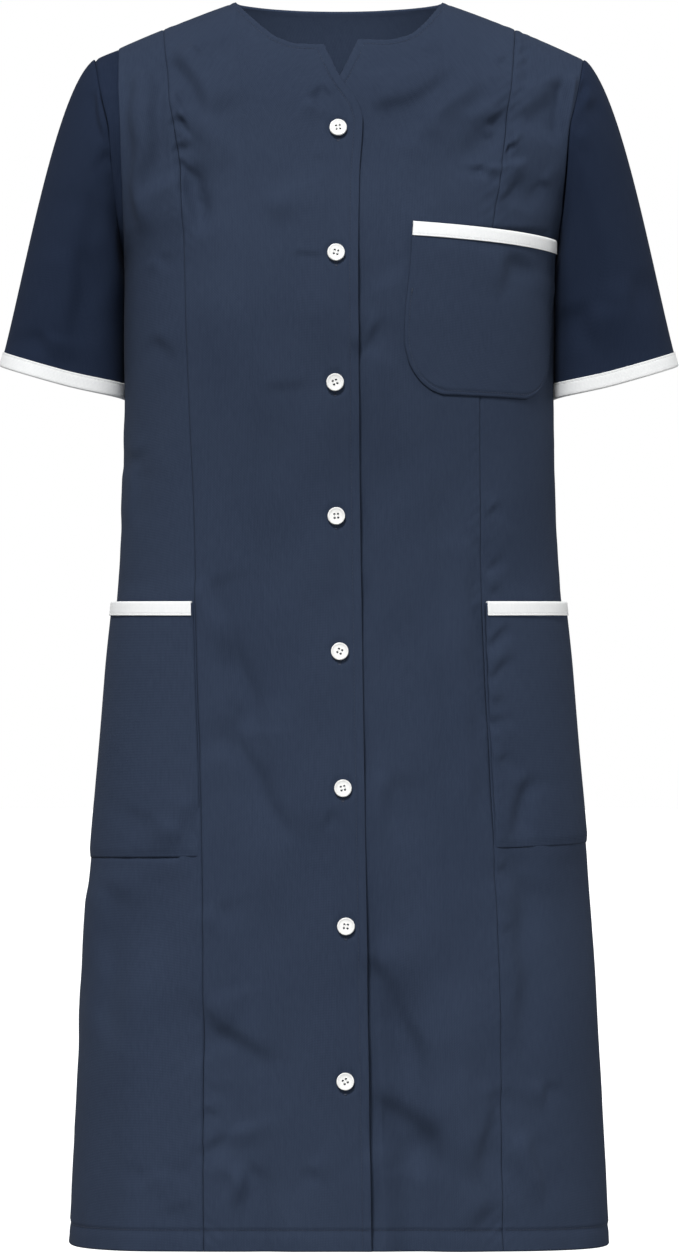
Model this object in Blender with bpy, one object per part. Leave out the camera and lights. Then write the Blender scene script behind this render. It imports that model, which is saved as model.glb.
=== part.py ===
"""Nurse uniform dress with short sleeves, a notched round neck, eight buttons and bound edges.

The dress is hollow and keeps the form of a body, with every cut piece a cloth wall of its own.
Units are metres with +Z up. The front faces -Y and the wearer's left side is +X. The origin lies
midway between the two high points of the neck, where the shoulders carry the dress.
Tables are in millimetres, and `across` in them is the distance from the middle line.
"""
import math

import bpy
import bmesh
from mathutils import Matrix, Vector

MM = 0.001

# Cloth and its seams
WALL = 1.2 * MM             # cloth of the body, the sleeves and the pockets
GAP = 0.3 * MM              # between two pieces at a seam
ARMHOLE_GAP = 0.6 * MM      # between a sleeve and the panels it is set into
UNDERLAP_DROP = 2.4 * MM    # how far the under front lies behind the over front's face
BINDING = 0.8 * MM          # cloth of the white binding
BINDING_GAP = 0.4 * MM      # between the binding and the cloth inside it
BINDING_HEIGHT = 11.5 * MM

# Outline of a binding folded over a cloth edge: distance below the fold, and lift off the
# cloth's face, with the cloth's own back at a lift of minus WALL
FACE_NEAR = BINDING_GAP
FACE_FAR = BINDING_GAP + BINDING
BACK_NEAR = -WALL - FACE_NEAR
BACK_FAR = -WALL - FACE_FAR
BINDING_OUTLINE = (
    (BINDING_HEIGHT, FACE_NEAR), (BINDING_HEIGHT, FACE_FAR), (0, FACE_FAR), (0, BACK_FAR),
    (BINDING_HEIGHT, BACK_FAR), (BINDING_HEIGHT, BACK_NEAR), (BINDING, BACK_NEAR), (BINDING, FACE_NEAR),
)
OUTLINE_RISES = (1, 5)      # its sides that run up, from their lower point

# Shape of a level section: 2 is an ellipse and more is squarer
SQUARENESS = 2.3

# Shoulders, armholes and hem
NECK_HALF = 86 * MM
SHOULDER_SLOPE = 0.33
SHOULDER_BEND = 0.62        # extra fall for each metre squared from the neck
FRONT_ROUND = 90 * MM       # fall over which the front turns from the shoulder seam to upright
BACK_ROUND = 105 * MM       # the same for the back
UNDERARM = -225 * MM
TIP = -47 * MM
SIDE_HEM = -1031.5 * MM
HEM_RISE = 6 * MM           # the hem is higher at the middle of the front and back
YOKE = -130 * MM            # above this the rows fan out to the neck and the shoulder
BODICE_END = -450 * MM

# Cells of the panels, the same on all of them so that their points meet at the seams
YOKE_ROWS = 5
CHEST_ROWS = 4
BODICE_ROWS = 9
SKIRT_ROWS = 20
SIDE_ACROSS = 6

BODY_COLUMNS = ("height", "half_width", "front_depth", "back_depth")
BODY = (
    (0, 262, 72, 99),
    (-58, 250, 84, 104),
    (-90, 238, 94, 111),
    (-135, 213, 108, 117),
    (-178, 193, 122, 121),
    (-225, 179.5, 133, 122),
    (-270, 179, 138, 121),
    (-330, 178.5, 137, 118),
    (-410, 180, 132, 116),
    (-480, 183.5, 133, 120),
    (-560, 192, 138, 129),
    (-700, 205.5, 148, 144),
    (-850, 215.5, 158, 156),
    (-1035, 225, 168, 168),
)

SEAM_COLUMNS = ("height", "armhole", "princess_right", "princess_left", "placket")
SEAMS = (
    (0, 216, 148, 148, 20.1),
    (-47, 203.5, 144, 144.5, 20.1),
    (-80, 197, 141, 141, 20.1),
    (-110, 190, 136, 138, 19.5),
    (-148, 187, 131, 132.5, 17),
    (-202, 182, 127.5, 125, 16),
    (-225, 179.5, 127, 122.5, 15.8),
    (-330, 179, 123.5, 115.5, 16.5),
    (-430, 179, 119, 116, 17.5),
    (-560, 179, 116, 120, 19.5),
    (-660, 179, 113, 125.5, 21),
    (-780, 179, 111, 129.5, 23),
    (-930, 179, 111, 133, 25),
    (-1035, 179, 110, 134, 26.7),
)

# Neck edge from the notch to the high point of the neck, for each front
EDGE_COLUMNS = ("across", "height")
NECK_RIGHT = ((12.4, -39.5), (34.6, -38.6), (50.3, -33.3), (69.4, -17.9), (80, -7), (86, 0))
NECK_LEFT = ((15.7, -34.2), (37.9, -35.1), (56.9, -31.0), (71.1, -19.7), (81, -7), (86, 0))
# Notch edge, from its hidden end past the middle line up to the neck edge
NOTCH_RIGHT = ((-20.1, -104.4), (-16.4, -91), (-0.8, -67.2), (12.4, -39.5))
NOTCH_LEFT = ((-20.1, -104.4), (-16.4, -91), (-0.8, -67.2), (15.7, -34.2))
BACK_NECK_DROP = 3.5 * MM

# Broad folds: signed distance across and height of both ends, breadth, and depth (minus sinks in)
FOLD_COLUMNS = ("face", "top_across", "top_height", "low_across", "low_height", "breadth", "depth")
FOLDS = (
    ("front", 172, -62, 92, -150, 13, -2.6),
    ("front", 118, -52, 66, -122, 12, 1.8),
    ("front", -137, -82, -112, -205, 11, -2.4),
    ("front", -160, -70, -152, -200, 11, 1.6),
    ("front", -100, -515, -50, -680, 15, -3.2),
    ("front", 142, -600, 150, -800, 17, -2.4),
    ("front", 50, -780, 62, -1035, 20, -4.5),
    ("front", 92, -800, 98, -1035, 20, 2.8),
    ("front", -105, -820, -62, -1035, 20, -2.8),
    ("front", -160, -760, -166, -1035, 22, 2.6),
    ("back", -150, -75, -95, -190, 14, -2.4),
    ("back", 158, -80, 108, -205, 15, -2.8),
    ("back", -70, -330, -92, -520, 18, -3.0),
    ("back", 84, -350, 76, -560, 18, -2.6),
    ("back", -112, -640, -138, -1035, 24, -5.0),
    ("back", -20, -700, -8, -1035, 26, -4.0),
    ("back", 104, -620, 128, -1035, 22, -4.6),
    ("back", 58, -760, 60, -1035, 24, 3.0),
)

# Sleeves
CUFF_MIDDLE = Vector((231.5, 15, -316)) * MM
CUFF_HALF_WIDTH = 53 * MM
CUFF_HALF_DEPTH = 58 * MM
CUFF_TILT = math.radians(15.5)
CUFF_RISE = 0.045           # how fast the cuff's edge rises towards the back
SLEEVE_TOP_START = Vector((0.80, 0, -0.60))
SLEEVE_LOW_START = Vector((0.05, 0.04, -1.0))
SLEEVE_TOP_PULL = 0.45      # length of the starting slope as a share of the sleeve's length
SLEEVE_LOW_PULL = 0.80
SLEEVE_END_PULL = 0.80
SLEEVE_AROUND = 32
SLEEVE_ALONG = 11

# Hip pockets, from the princess seam to the side seam
HIP_TOP = -499 * MM
HIP_LONG = 210 * MM
HIP_FLOORS = {-1: (-707, -711), 1: (-700, -698)}    # height at the princess and the side seam
HIP_MOUTH = 2.6 * MM        # how far the mouth stands off the panel
HIP_MOUTH_SEAM = 2.0 * MM   # the same at the princess seam
HIP_INSET = 1.0 * MM        # from the princess seam to the pocket's edge
HIP_SPARE = 8 * MM          # least height of a cell at the pocket's ends
POCKET_SEAT = 0.5 * MM

# Breast pocket on the wearer's left
BREAST_COLUMNS = ("down", "inner", "outer")
BREAST = (
    (0, 60.0, 175.5),
    (0.28, 57.0, 176.0),
    (0.53, 53.5, 174.5),
    (0.68, 52.9, 173.5),
    (0.80, 56.0, 172.0),
    (0.90, 63.5, 168.0),
    (0.97, 74.5, 161.0),
    (1.0, 84.8, 153.0),
)
BREAST_TOP = (-189.5, -199.5)       # height at the inner and the outer end
BREAST_FLOOR = (-330.5, -333.0)
BREAST_MOUTH = 2.7 * MM
BREAST_SEAT = 0.8 * MM
BREAST_ACROSS = 8
BREAST_LONG = 140 * MM
BREAST_ROWS = (0.2, 0.34, 0.48, 0.62, 0.74, 0.84, 0.92, 0.97, 1.0)     # below the binding

# Buttons
BUTTONS = (                 # across to the wearer's left, height
    (-0.7, -111.0),
    (-2.4, -214.6),
    (-3.2, -320.3),
    (-2.2, -429.1),
    (0.6, -539.4),
    (3.2, -650.7),
    (5.6, -762.6),
    (5.1, -888.0),
)
BUTTON_RADIUS = 7.2 * MM
BUTTON_HEIGHT = 2.6 * MM
BUTTON_RIM = 1.3 * MM
BUTTON_DISH = 0.5 * MM
BUTTON_SIDES = 16
HOLE_RADIUS = 0.85 * MM
HOLE_SPREAD = 1.45 * MM     # from the middle to a hole, along each axis
HOLE_SIDES = 6


def column(rows, names, name):
    """One column of a table."""
    index = names.index(name)
    return [row[index] for row in rows]


def curve_at(xs, ys, x):
    """Height at x of a smooth curve through the points, whose xs rise."""
    if x <= xs[0]:
        return ys[0]
    if x >= xs[-1]:
        return ys[-1]
    last = len(xs) - 1
    i = max(k for k in range(last) if xs[k] <= x)
    rises = [(ys[k + 1] - ys[k]) / (xs[k + 1] - xs[k]) for k in range(last)]

    def slope(k):
        if k == 0:
            return rises[0]
        if k == last:
            return rises[-1]
        if rises[k - 1] * rises[k] <= 0:
            return 0.0
        return 2 * rises[k - 1] * rises[k] / (rises[k - 1] + rises[k])

    step = xs[i + 1] - xs[i]
    t = (x - xs[i]) / step
    start = (2 * t - 3) * t * t * (ys[i] - ys[i + 1]) + ys[i]
    return start + step * t * (1 - t) * ((1 - t) * slope(i) - t * slope(i + 1))


def level(rows, names, name, height):
    """Value of a table's column at a height, in metres."""
    xs = [-value for value in column(rows, names, "height")]
    return curve_at(xs, column(rows, names, name), -height / MM) * MM


def body_size(name, height):
    return level(BODY, BODY_COLUMNS, name, height)


def seam(name, height):
    return level(SEAMS, SEAM_COLUMNS, name, height)


def across_curve(points, across):
    """Height of an edge at a distance across, for a table of across and height."""
    xs = column(points, EDGE_COLUMNS, "across")
    return curve_at(xs, column(points, EDGE_COLUMNS, "height"), across / MM) * MM


def mix(a, b, share):
    return a + (b - a) * share


def soft_step(value, low, high):
    share = min(max((value - low) / (high - low), 0), 1)
    return share * share * (3 - 2 * share)


def signed_power(value, power):
    return math.copysign(abs(value) ** power, value)


def shoulder_height(across):
    away = max(abs(across) - NECK_HALF, 0)
    return -(SHOULDER_SLOPE * away + SHOULDER_BEND * away * away)


def rounding(share, swell, power):
    """How much of its full depth the cloth has, a share of the way down from the shoulder."""
    return (1 - (1 - min(share, 1)) ** swell) ** power


def bare_point(turn, height):
    """Point of the body's face: turn 0 is the middle of the front, and it grows to the left."""
    across = body_size("half_width", height) * signed_power(math.sin(turn), 2 / SQUARENESS)
    facing = math.cos(turn)
    fall = max(shoulder_height(across) - height, 0)
    if facing >= 0:
        depth = body_size("front_depth", height)
        share = rounding(fall / FRONT_ROUND, 2, 0.5)
    else:
        depth = body_size("back_depth", height)
        behind_neck = rounding(fall / BACK_ROUND, 1.2, 0.28)
        behind_shoulder = rounding(fall / BACK_ROUND, 2, 0.5)
        beside = soft_step(abs(across), NECK_HALF * 0.55, NECK_HALF * 1.4)
        share = mix(behind_neck, behind_shoulder, beside)
    away = depth * share * abs(facing) ** (2 / SQUARENESS) + GAP / 2
    return Vector((across, -away if facing >= 0 else away, height))


def turn_at(across, height):
    """Turn on the front at which the body's face is that far across."""
    share = min(abs(across) / body_size("half_width", height), 1)
    return math.copysign(math.asin(share ** (SQUARENESS / 2)), across)


def body_normal(turn, height):
    spread = 0.012
    rise = 2 * MM
    sideways = bare_point(turn + spread, height) - bare_point(turn - spread, height)
    down = bare_point(turn, height - rise) - bare_point(turn, height + rise)
    normal = down.cross(sideways).normalized()
    here = bare_point(turn, height)
    fall = shoulder_height(here.x) - height
    slope = SHOULDER_SLOPE if abs(here.x) > NECK_HALF else 0
    upright = Vector((math.copysign(slope, here.x), 0, 1)).normalized()
    return normal.lerp(upright, 1 - soft_step(fall, 0, 2.5 * MM)).normalized()


def fold_depth(point, facing):
    """How far the broad folds move the cloth out at a point of the body."""
    total = 0.0
    for row in FOLDS:
        fold = dict(zip(FOLD_COLUMNS, row))
        if (fold["face"] == "front") != (facing >= 0):
            continue
        start = Vector((fold["top_across"], fold["top_height"])) * MM
        along = Vector((fold["low_across"], fold["low_height"])) * MM - start
        share = (Vector((point.x, point.z)) - start).dot(along) / along.length_squared
        near = start + along * min(max(share, 0), 1)
        away = (Vector((point.x, point.z)) - near).length / (fold["breadth"] * MM)
        ends = soft_step(share, 0, 0.25)
        if fold["low_height"] > -1000:
            ends *= soft_step(1 - share, 0, 0.25)
        total += fold["depth"] * MM * ends * math.exp(-away * away)
    return total * soft_step(abs(facing), 0.12, 0.4)


def body_point(side, turn, height, lift=0.0):
    """Point of the draped body, moved out by lift. Side -1 is the wearer's right."""
    bare = bare_point(turn, height)
    point = Vector((bare.x * side, bare.y, bare.z))
    normal = body_normal(turn, height)
    normal.x *= side
    return point + normal * (lift + fold_depth(point, math.cos(turn)))


def hem_height(turn):
    return SIDE_HEM + HEM_RISE * math.cos(turn) ** 2


def column_top(turn_of, top):
    """Height at which a column of a panel meets the panel's top edge."""
    low = YOKE
    high = 0.0
    for _ in range(40):
        middle = (low + high) / 2
        if middle > top(bare_point(turn_of(middle), middle).x):
            high = middle
        else:
            low = middle
    return low


def column_heights(turn_of, top):
    """Heights of a column's points, from the top edge to the hem, in the same rows on all panels."""
    start = column_top(turn_of, top)
    heights = [mix(start, YOKE, k / YOKE_ROWS) for k in range(YOKE_ROWS)]
    heights += [mix(YOKE, UNDERARM, k / CHEST_ROWS) for k in range(CHEST_ROWS)]
    heights += [mix(UNDERARM, BODICE_END, k / BODICE_ROWS) for k in range(BODICE_ROWS)]
    hem = hem_height(turn_of(SIDE_HEM))
    heights += [mix(BODICE_END, hem, k / SKIRT_ROWS) for k in range(SKIRT_ROWS + 1)]
    return heights


def new_object(name, bm, finish):
    bmesh.ops.triangulate(bm, faces=bm.faces, quad_method="FIXED")
    bmesh.ops.recalc_face_normals(bm, faces=bm.faces)
    mesh = bpy.data.meshes.new(name)
    bm.to_mesh(mesh)
    bm.free()
    mesh.materials.append(finish)
    mesh.shade_smooth()
    mesh.set_sharp_from_angle(angle=math.radians(50))
    piece = bpy.data.objects.new(name, mesh)
    bpy.context.collection.objects.link(piece)
    return piece


def cloth_wall(name, face, back, finish, closed=False):
    """A wall between two grids of points, which may close on itself around its rows."""
    bm = bmesh.new()
    outer = [[bm.verts.new(point) for point in row] for row in face]
    inner = [[bm.verts.new(point) for point in row] for row in back]
    rows = len(outer)
    count = len(outer[0])
    steps = [(j, (j + 1) % count) for j in range(count if closed else count - 1)]
    for i in range(rows - 1):
        for j, k in steps:
            bm.faces.new((outer[i][j], outer[i][k], outer[i + 1][k], outer[i + 1][j]))
            bm.faces.new((inner[i][j], inner[i][k], inner[i + 1][k], inner[i + 1][j]))
        if not closed:
            for j in (0, count - 1):
                bm.faces.new((outer[i][j], outer[i + 1][j], inner[i + 1][j], inner[i][j]))
    for i in (0, rows - 1):
        for j, k in steps:
            bm.faces.new((outer[i][j], inner[i][j], inner[i][k], outer[i][k]))
    return new_object(name, bm, finish)


def bound_strip(name, stations, finish, closed=False):
    """A binding: one closed outline of points at each station along an edge.

    Each cell is split from its upper corner at one station to its lower corner at the next, as
    the cells of the cloth inside it are, so that the two stay parallel where they twist."""
    bm = bmesh.new()
    loops = [[bm.verts.new(point) for point in station] for station in stations]
    sides = len(loops[0])
    pairs = list(zip(loops, loops[1:]))
    if closed:
        pairs.append((loops[-1], loops[0]))
    for here, there in pairs:
        for k in range(sides):
            after = (k + 1) % sides
            cell = [here[k], here[after], there[after], there[k]]
            if k in OUTLINE_RISES:
                cell = cell[1:] + cell[:1]
            bm.faces.new(cell)
    if not closed:
        for ends in (loops[0], loops[-1]):
            for k in range(3):
                bm.faces.new((ends[7 - k], ends[(8 - k) % 8], ends[1 + k], ends[2 + k]))
    return new_object(name, bm, finish)


def panel(name, side, columns, top, finish, lift_of=None):
    """A cut panel: each column gives the turn at a height, and lift_of sinks or raises it."""
    face = []
    back = []
    for turn_of in columns:
        heights = column_heights(turn_of, top)
        outer = []
        inner = []
        for height in heights:
            turn = turn_of(height)
            lift = lift_of(turn, height) if lift_of else 0.0
            outer.append(body_point(side, turn, height, lift))
            inner.append(body_point(side, turn, height, lift - WALL))
        face.append(outer)
        back.append(inner)
    return cloth_wall(name, face, back, finish)


def across_column(inner, outer, share):
    """Column a share of the way between two seams, measured across."""
    return lambda height: turn_at(mix(inner(height), outer(height), share), height)


def turned_column(inner, outer, share):
    """Column a share of the way between two seams, measured around the body."""
    return lambda height: mix(inner(height), outer(height), share)


def share_through(inner, outer, point):
    """Share of the column that passes through a point of across and height."""
    across, height = point[0] * MM, point[1] * MM
    return (across - inner(height)) / (outer(height) - inner(height))


def spaced(stops, counts):
    """Shares from stop to stop, with a count of cells between each two."""
    shares = [stops[0]]
    for start, end, count in zip(stops, stops[1:], counts):
        shares += [mix(start, end, k / count) for k in range(1, count + 1)]
    return shares


def princess(side, inset):
    name = "princess_right" if side < 0 else "princess_left"
    return lambda height: seam(name, height) + inset


def front_top(neck, notch):
    """Top edge of a front: the notch, the neck edge, then the shoulder seam."""
    corner = neck[0][0] * MM

    def top(across):
        if across > NECK_HALF:
            return shoulder_height(across)
        if across > corner:
            return across_curve(neck, across)
        return across_curve(notch, across)

    return top


def build_front_right(finish):
    """The over front, which ends at the placket edge past the middle line."""
    inner = lambda height: -seam("placket", height)
    outer = princess(-1, -GAP / 2)
    corner = share_through(inner, outer, NECK_RIGHT[0])
    neck = share_through(inner, outer, NECK_RIGHT[-1])
    shares = spaced((0, corner, neck, 1), (2, 4, 3))
    columns = [across_column(inner, outer, share) for share in shares]
    return panel("front_right", -1, columns, front_top(NECK_RIGHT, NOTCH_RIGHT), finish)


def over_edge(height):
    """Where the over front's edge lies, as the distance to the wearer's left."""
    heights = column(NOTCH_RIGHT, EDGE_COLUMNS, "height")
    places = [-across for across in column(NOTCH_RIGHT, EDGE_COLUMNS, "across")]
    if height > heights[0] * MM:
        return curve_at(heights, places, height / MM) * MM
    return seam("placket", height)


def underlap_lift(turn, height):
    """The under front sinks behind the over front just outside that front's edge."""
    across = bare_point(turn, height).x
    return -UNDERLAP_DROP * (1 - soft_step(across - over_edge(height), 2 * MM, 14 * MM))


def build_front_left(finish):
    """The under front, which ends as far past the middle line as the over front does."""
    inner = lambda height: -seam("placket", height)
    edge = lambda height: over_edge(height) + 1.8 * MM
    slope = lambda height: over_edge(height) + 8 * MM
    flat = lambda height: over_edge(height) + 14.2 * MM
    outer = princess(1, -GAP / 2)
    corner = share_through(flat, outer, NECK_LEFT[0])
    neck = share_through(flat, outer, NECK_LEFT[-1])
    columns = [across_column(inner, edge, share) for share in (0, 0.5, 1)]
    columns += [across_column(slope, slope, 0)]
    shares = spaced((0, corner, neck, 1), (1, 3, 3))
    columns += [across_column(flat, outer, share) for share in shares]
    return panel("front_left", 1, columns, front_top(NECK_LEFT, NOTCH_LEFT), finish, underlap_lift)


def side_front_columns(side):
    """Columns of a side front, from the princess seam to the armhole and the side seam."""
    seam_across = princess(side, GAP / 2)
    inner = lambda height: turn_at(seam_across(height), height)

    def outer(height):
        if height <= UNDERARM:
            return math.pi / 2
        return turn_at(seam("armhole", height), height)

    return [turned_column(inner, outer, k / SIDE_ACROSS) for k in range(SIDE_ACROSS + 1)]


def build_side_front(name, side, finish):
    return panel(name, side, side_front_columns(side), shoulder_height, finish)


def back_top(across):
    away = min(abs(across) / NECK_HALF, 1)
    return shoulder_height(across) - BACK_NECK_DROP * (1 - away * away)


def build_back(finish):
    """The back, in one piece from side seam to side seam."""
    neck_share = 1 / 3
    neck_turn = turn_at(NECK_HALF, 0)

    def edge(height):
        if height <= UNDERARM:
            return math.pi / 2 - 1e-6
        return turn_at(seam("armhole", height), height)

    def column_at(share):
        def turn_of(height):
            mid = mix(neck_turn, edge(height) * neck_share, soft_step(-height, 0, 0.2))
            if abs(share) <= neck_share:
                return math.pi - mid * share / neck_share
            beyond = (abs(share) - neck_share) / (1 - neck_share)
            return math.pi - math.copysign(mix(mid, edge(height), beyond), share)
        return turn_of

    shares = spaced((-1, -neck_share, 0, neck_share, 1), (6, 3, 3, 6))
    return panel("back", 1, [column_at(share) for share in shares], back_top, finish)


def armhole_point(around):
    """Point of the armhole's edge: around 0 is the shoulder tip, and it goes over the front."""
    middle = (TIP + UNDERARM) / 2
    height = middle + (TIP - UNDERARM) / 2 * math.cos(around)
    turn = turn_at(seam("armhole", height), height)
    point = bare_point(turn if math.sin(around) >= 0 else math.pi - turn, height)
    point.x += ARMHOLE_GAP
    if abs(math.sin(around)) < 1e-6:
        point.y = 0
    return point


def cuff_point(around):
    out = Vector((math.cos(CUFF_TILT), 0, math.sin(CUFF_TILT)))
    across = out * (CUFF_HALF_WIDTH * math.cos(around))
    back = Vector((0, 1, CUFF_RISE))
    return CUFF_MIDDLE + across - back * (CUFF_HALF_DEPTH * math.sin(around))


def sleeve_run(around):
    """Ends and end slopes of the line that runs down a sleeve at one place around it."""
    start = armhole_point(around)
    end = cuff_point(around)
    length = (end - start).length
    under = (1 - math.cos(around)) / 2
    setting = SLEEVE_TOP_START.normalized().lerp(SLEEVE_LOW_START.normalized(), under)
    pull = mix(SLEEVE_TOP_PULL, SLEEVE_LOW_PULL, under)
    lean = CUFF_TILT * (1 - under)
    hang = Vector((math.sin(lean), 0, -math.cos(lean)))
    return start, end, setting * (length * pull), hang * (length * SLEEVE_END_PULL)


def bare_sleeve_point(around, along):
    start, end, first, last = sleeve_run(around)
    t = along
    point = start * ((2 * t - 3) * t * t + 1) + end * ((3 - 2 * t) * t * t)
    return point + first * (t * (1 - t) ** 2) + last * (t * t * (t - 1))


def sleeve_point(side, around, along, lift=0.0):
    """Point of a sleeve's face, moved out by lift."""
    spread = 0.02
    step = 0.01
    ring = bare_sleeve_point(around + spread, along) - bare_sleeve_point(around - spread, along)
    down = bare_sleeve_point(around, along + step) - bare_sleeve_point(around, along - step)
    set_in = Vector((1, 0, 0))
    down = down.normalized().lerp(set_in, 1 - soft_step(along, 0, 0.06))
    normal = ring.cross(down).normalized()
    point = bare_sleeve_point(around, along) + normal * lift
    return Vector((point.x * side, point.y, point.z))


def cuff_share(around, distance):
    """How far along a sleeve a place at that distance above its lower end is."""
    return 1 - distance / sleeve_run(around)[3].length


def arounds():
    return [2 * math.pi * k / SLEEVE_AROUND for k in range(SLEEVE_AROUND)]


def build_sleeve(name, side, finish):
    face = []
    back = []
    for around in arounds():
        end = cuff_share(around, BINDING_GAP + BINDING)
        shares = [end * k / SLEEVE_ALONG for k in range(SLEEVE_ALONG + 1)]
        face.append([sleeve_point(side, around, share) for share in shares])
        back.append([sleeve_point(side, around, share, -WALL) for share in shares])
    rings = list(zip(*face))
    inner_rings = list(zip(*back))
    return cloth_wall(name, rings, inner_rings, finish, closed=True)


def build_cuff_trim(name, side, finish):
    stations = []
    for around in arounds():
        stations.append([
            sleeve_point(side, around, cuff_share(around, reach), lift)
            for reach, lift in BINDING_OUTLINE
        ])
    return bound_strip(name, stations, finish, closed=True)


def hip_lift(share, height):
    """How far a hip pocket's back stands off the panel, a share of the way to the side seam."""
    down = (HIP_TOP - height) / HIP_LONG
    mouth = mix(HIP_MOUTH_SEAM, HIP_MOUTH, soft_step(share, 0, 0.6))
    return mix(mouth, POCKET_SEAT, soft_step(down, 0.06, 0.7))


def hip_columns(side):
    """Turns of the columns of a hip pocket, just inside the seams it is caught in."""
    columns = side_front_columns(side)

    def nudged(turn_of, inset):
        return lambda height: turn_of(height) + inset / body_size("half_width", height)

    return [nudged(columns[0], HIP_INSET)] + columns[1:-1] + [nudged(columns[-1], -HIP_INSET / 2)]


def build_hip_pocket(name, side, finish):
    face = []
    back = []
    columns = hip_columns(side)
    edge = BINDING_GAP + BINDING
    floors = HIP_FLOORS[side]
    high = HIP_TOP - BINDING_HEIGHT - HIP_SPARE
    low = floors[0] * MM + HIP_SPARE
    rows = column_heights(columns[0], shoulder_height)
    inside = [row for row, height in enumerate(rows) if low < height < high]
    for k, turn_of in enumerate(columns):
        share = k / (len(columns) - 1)
        panel_rows = column_heights(turn_of, shoulder_height)
        heights = [HIP_TOP - edge, HIP_TOP - BINDING_HEIGHT]
        heights += [panel_rows[row] for row in inside]
        heights.append(mix(*floors, share) * MM)
        outer = []
        inner = []
        for height in heights:
            lift = hip_lift(share, height)
            inner.append(body_point(side, turn_of(height), height, lift))
            outer.append(body_point(side, turn_of(height), height, lift + WALL))
        face.append(outer)
        back.append(inner)
    return cloth_wall(name, face, back, finish)


def build_hip_trim(name, side, finish):
    stations = []
    columns = hip_columns(side)
    for k, turn_of in enumerate(columns):
        share = k / (len(columns) - 1)
        station = []
        for reach, lift in BINDING_OUTLINE:
            height = HIP_TOP - reach
            stand = hip_lift(share, height) + WALL
            station.append(body_point(side, turn_of(height), height, stand + lift))
        stations.append(station)
    return bound_strip(name, stations, finish)


def breast_place(share, down):
    """Turn and height of a place on the breast pocket."""
    height = mix(mix(*BREAST_TOP, share), mix(*BREAST_FLOOR, share), down) * MM
    downs = column(BREAST, BREAST_COLUMNS, "down")
    inner = curve_at(downs, column(BREAST, BREAST_COLUMNS, "inner"), down)
    outer = curve_at(downs, column(BREAST, BREAST_COLUMNS, "outer"), down)
    start = turn_at(inner * MM, height)
    end = turn_at(outer * MM, height)
    return mix(start, end, share), height


def breast_lift(down):
    return mix(BREAST_MOUTH, BREAST_SEAT, soft_step(down, 0.1, 0.5))


def build_breast_pocket(finish):
    face = []
    back = []
    rows = ((BINDING_GAP + BINDING) / BREAST_LONG, BINDING_HEIGHT / BREAST_LONG) + BREAST_ROWS
    for k in range(BREAST_ACROSS + 1):
        share = k / BREAST_ACROSS
        outer = []
        inner = []
        for down in rows:
            turn, height = breast_place(share, down)
            lift = breast_lift(down)
            inner.append(body_point(1, turn, height, lift))
            outer.append(body_point(1, turn, height, lift + WALL))
        face.append(outer)
        back.append(inner)
    return cloth_wall("breast_pocket", face, back, finish)


def build_breast_trim(finish):
    stations = []
    for k in range(BREAST_ACROSS + 1):
        share = k / BREAST_ACROSS
        station = []
        for reach, lift in BINDING_OUTLINE:
            down = reach / BREAST_LONG
            turn, height = breast_place(share, down)
            station.append(body_point(1, turn, height, breast_lift(down) + WALL + lift))
        stations.append(station)
    return bound_strip("breast_pocket_trim", stations, finish)


def ring_of(bm, radius, height, sides, middle=(0, 0)):
    """A level ring of points with its edges."""
    points = []
    for k in range(sides):
        angle = 2 * math.pi * k / sides
        place = (middle[0] + radius * math.cos(angle), middle[1] + radius * math.sin(angle), height)
        points.append(bm.verts.new(place))
    edges = [bm.edges.new((points[k], points[(k + 1) % sides])) for k in range(sides)]
    return points, edges


def band_between(bm, low, high):
    for k in range(len(low)):
        after = (k + 1) % len(low)
        bm.faces.new((low[k], low[after], high[after], high[k]))


def button_mesh(finish):
    """A dished button with a rim and four holes, its back at height 0 and its face up."""
    bm = bmesh.new()
    rings = [
        ring_of(bm, radius, height, BUTTON_SIDES)
        for radius, height in (
            (BUTTON_RADIUS * 0.9, 0),
            (BUTTON_RADIUS, BUTTON_HEIGHT * 0.4),
            (BUTTON_RADIUS * 0.97, BUTTON_HEIGHT),
            (BUTTON_RADIUS - BUTTON_RIM, BUTTON_HEIGHT),
            (BUTTON_RADIUS - BUTTON_RIM * 1.3, BUTTON_HEIGHT - BUTTON_DISH),
        )
    ]
    for (low, _), (high, _) in zip(rings, rings[1:]):
        band_between(bm, low, high)
    back_edges = list(rings[0][1])
    face_edges = list(rings[-1][1])
    for across in (-HOLE_SPREAD, HOLE_SPREAD):
        for up in (-HOLE_SPREAD, HOLE_SPREAD):
            low, low_edges = ring_of(bm, HOLE_RADIUS, 0, HOLE_SIDES, (across, up))
            dish = BUTTON_HEIGHT - BUTTON_DISH
            high, high_edges = ring_of(bm, HOLE_RADIUS, dish, HOLE_SIDES, (across, up))
            band_between(bm, low, high)
            back_edges += low_edges
            face_edges += high_edges
    for edges in (back_edges, face_edges):
        bmesh.ops.triangle_fill(bm, use_beauty=True, use_dissolve=False, edges=edges)
    bmesh.ops.recalc_face_normals(bm, faces=bm.faces)
    mesh = bpy.data.meshes.new("button")
    bm.to_mesh(mesh)
    bm.free()
    mesh.materials.append(finish)
    mesh.shade_smooth()
    mesh.set_sharp_from_angle(angle=math.radians(40))
    return mesh


def build_buttons(finish):
    mesh = button_mesh(finish)
    for k, (across, height) in enumerate(BUTTONS):
        turn = turn_at(-across * MM, height * MM)
        seat = body_point(-1, turn, height * MM, GAP)
        outward = body_normal(turn, height * MM)
        outward.x *= -1
        sideways = Vector((0, 0, 1)).cross(outward).normalized()
        upward = outward.cross(sideways)
        frame = Matrix((sideways, upward, outward)).transposed().to_4x4()
        button = bpy.data.objects.new(f"button_{k + 1}", mesh)
        bpy.context.collection.objects.link(button)
        button.matrix_world = Matrix.Translation(seat) @ frame


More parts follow.
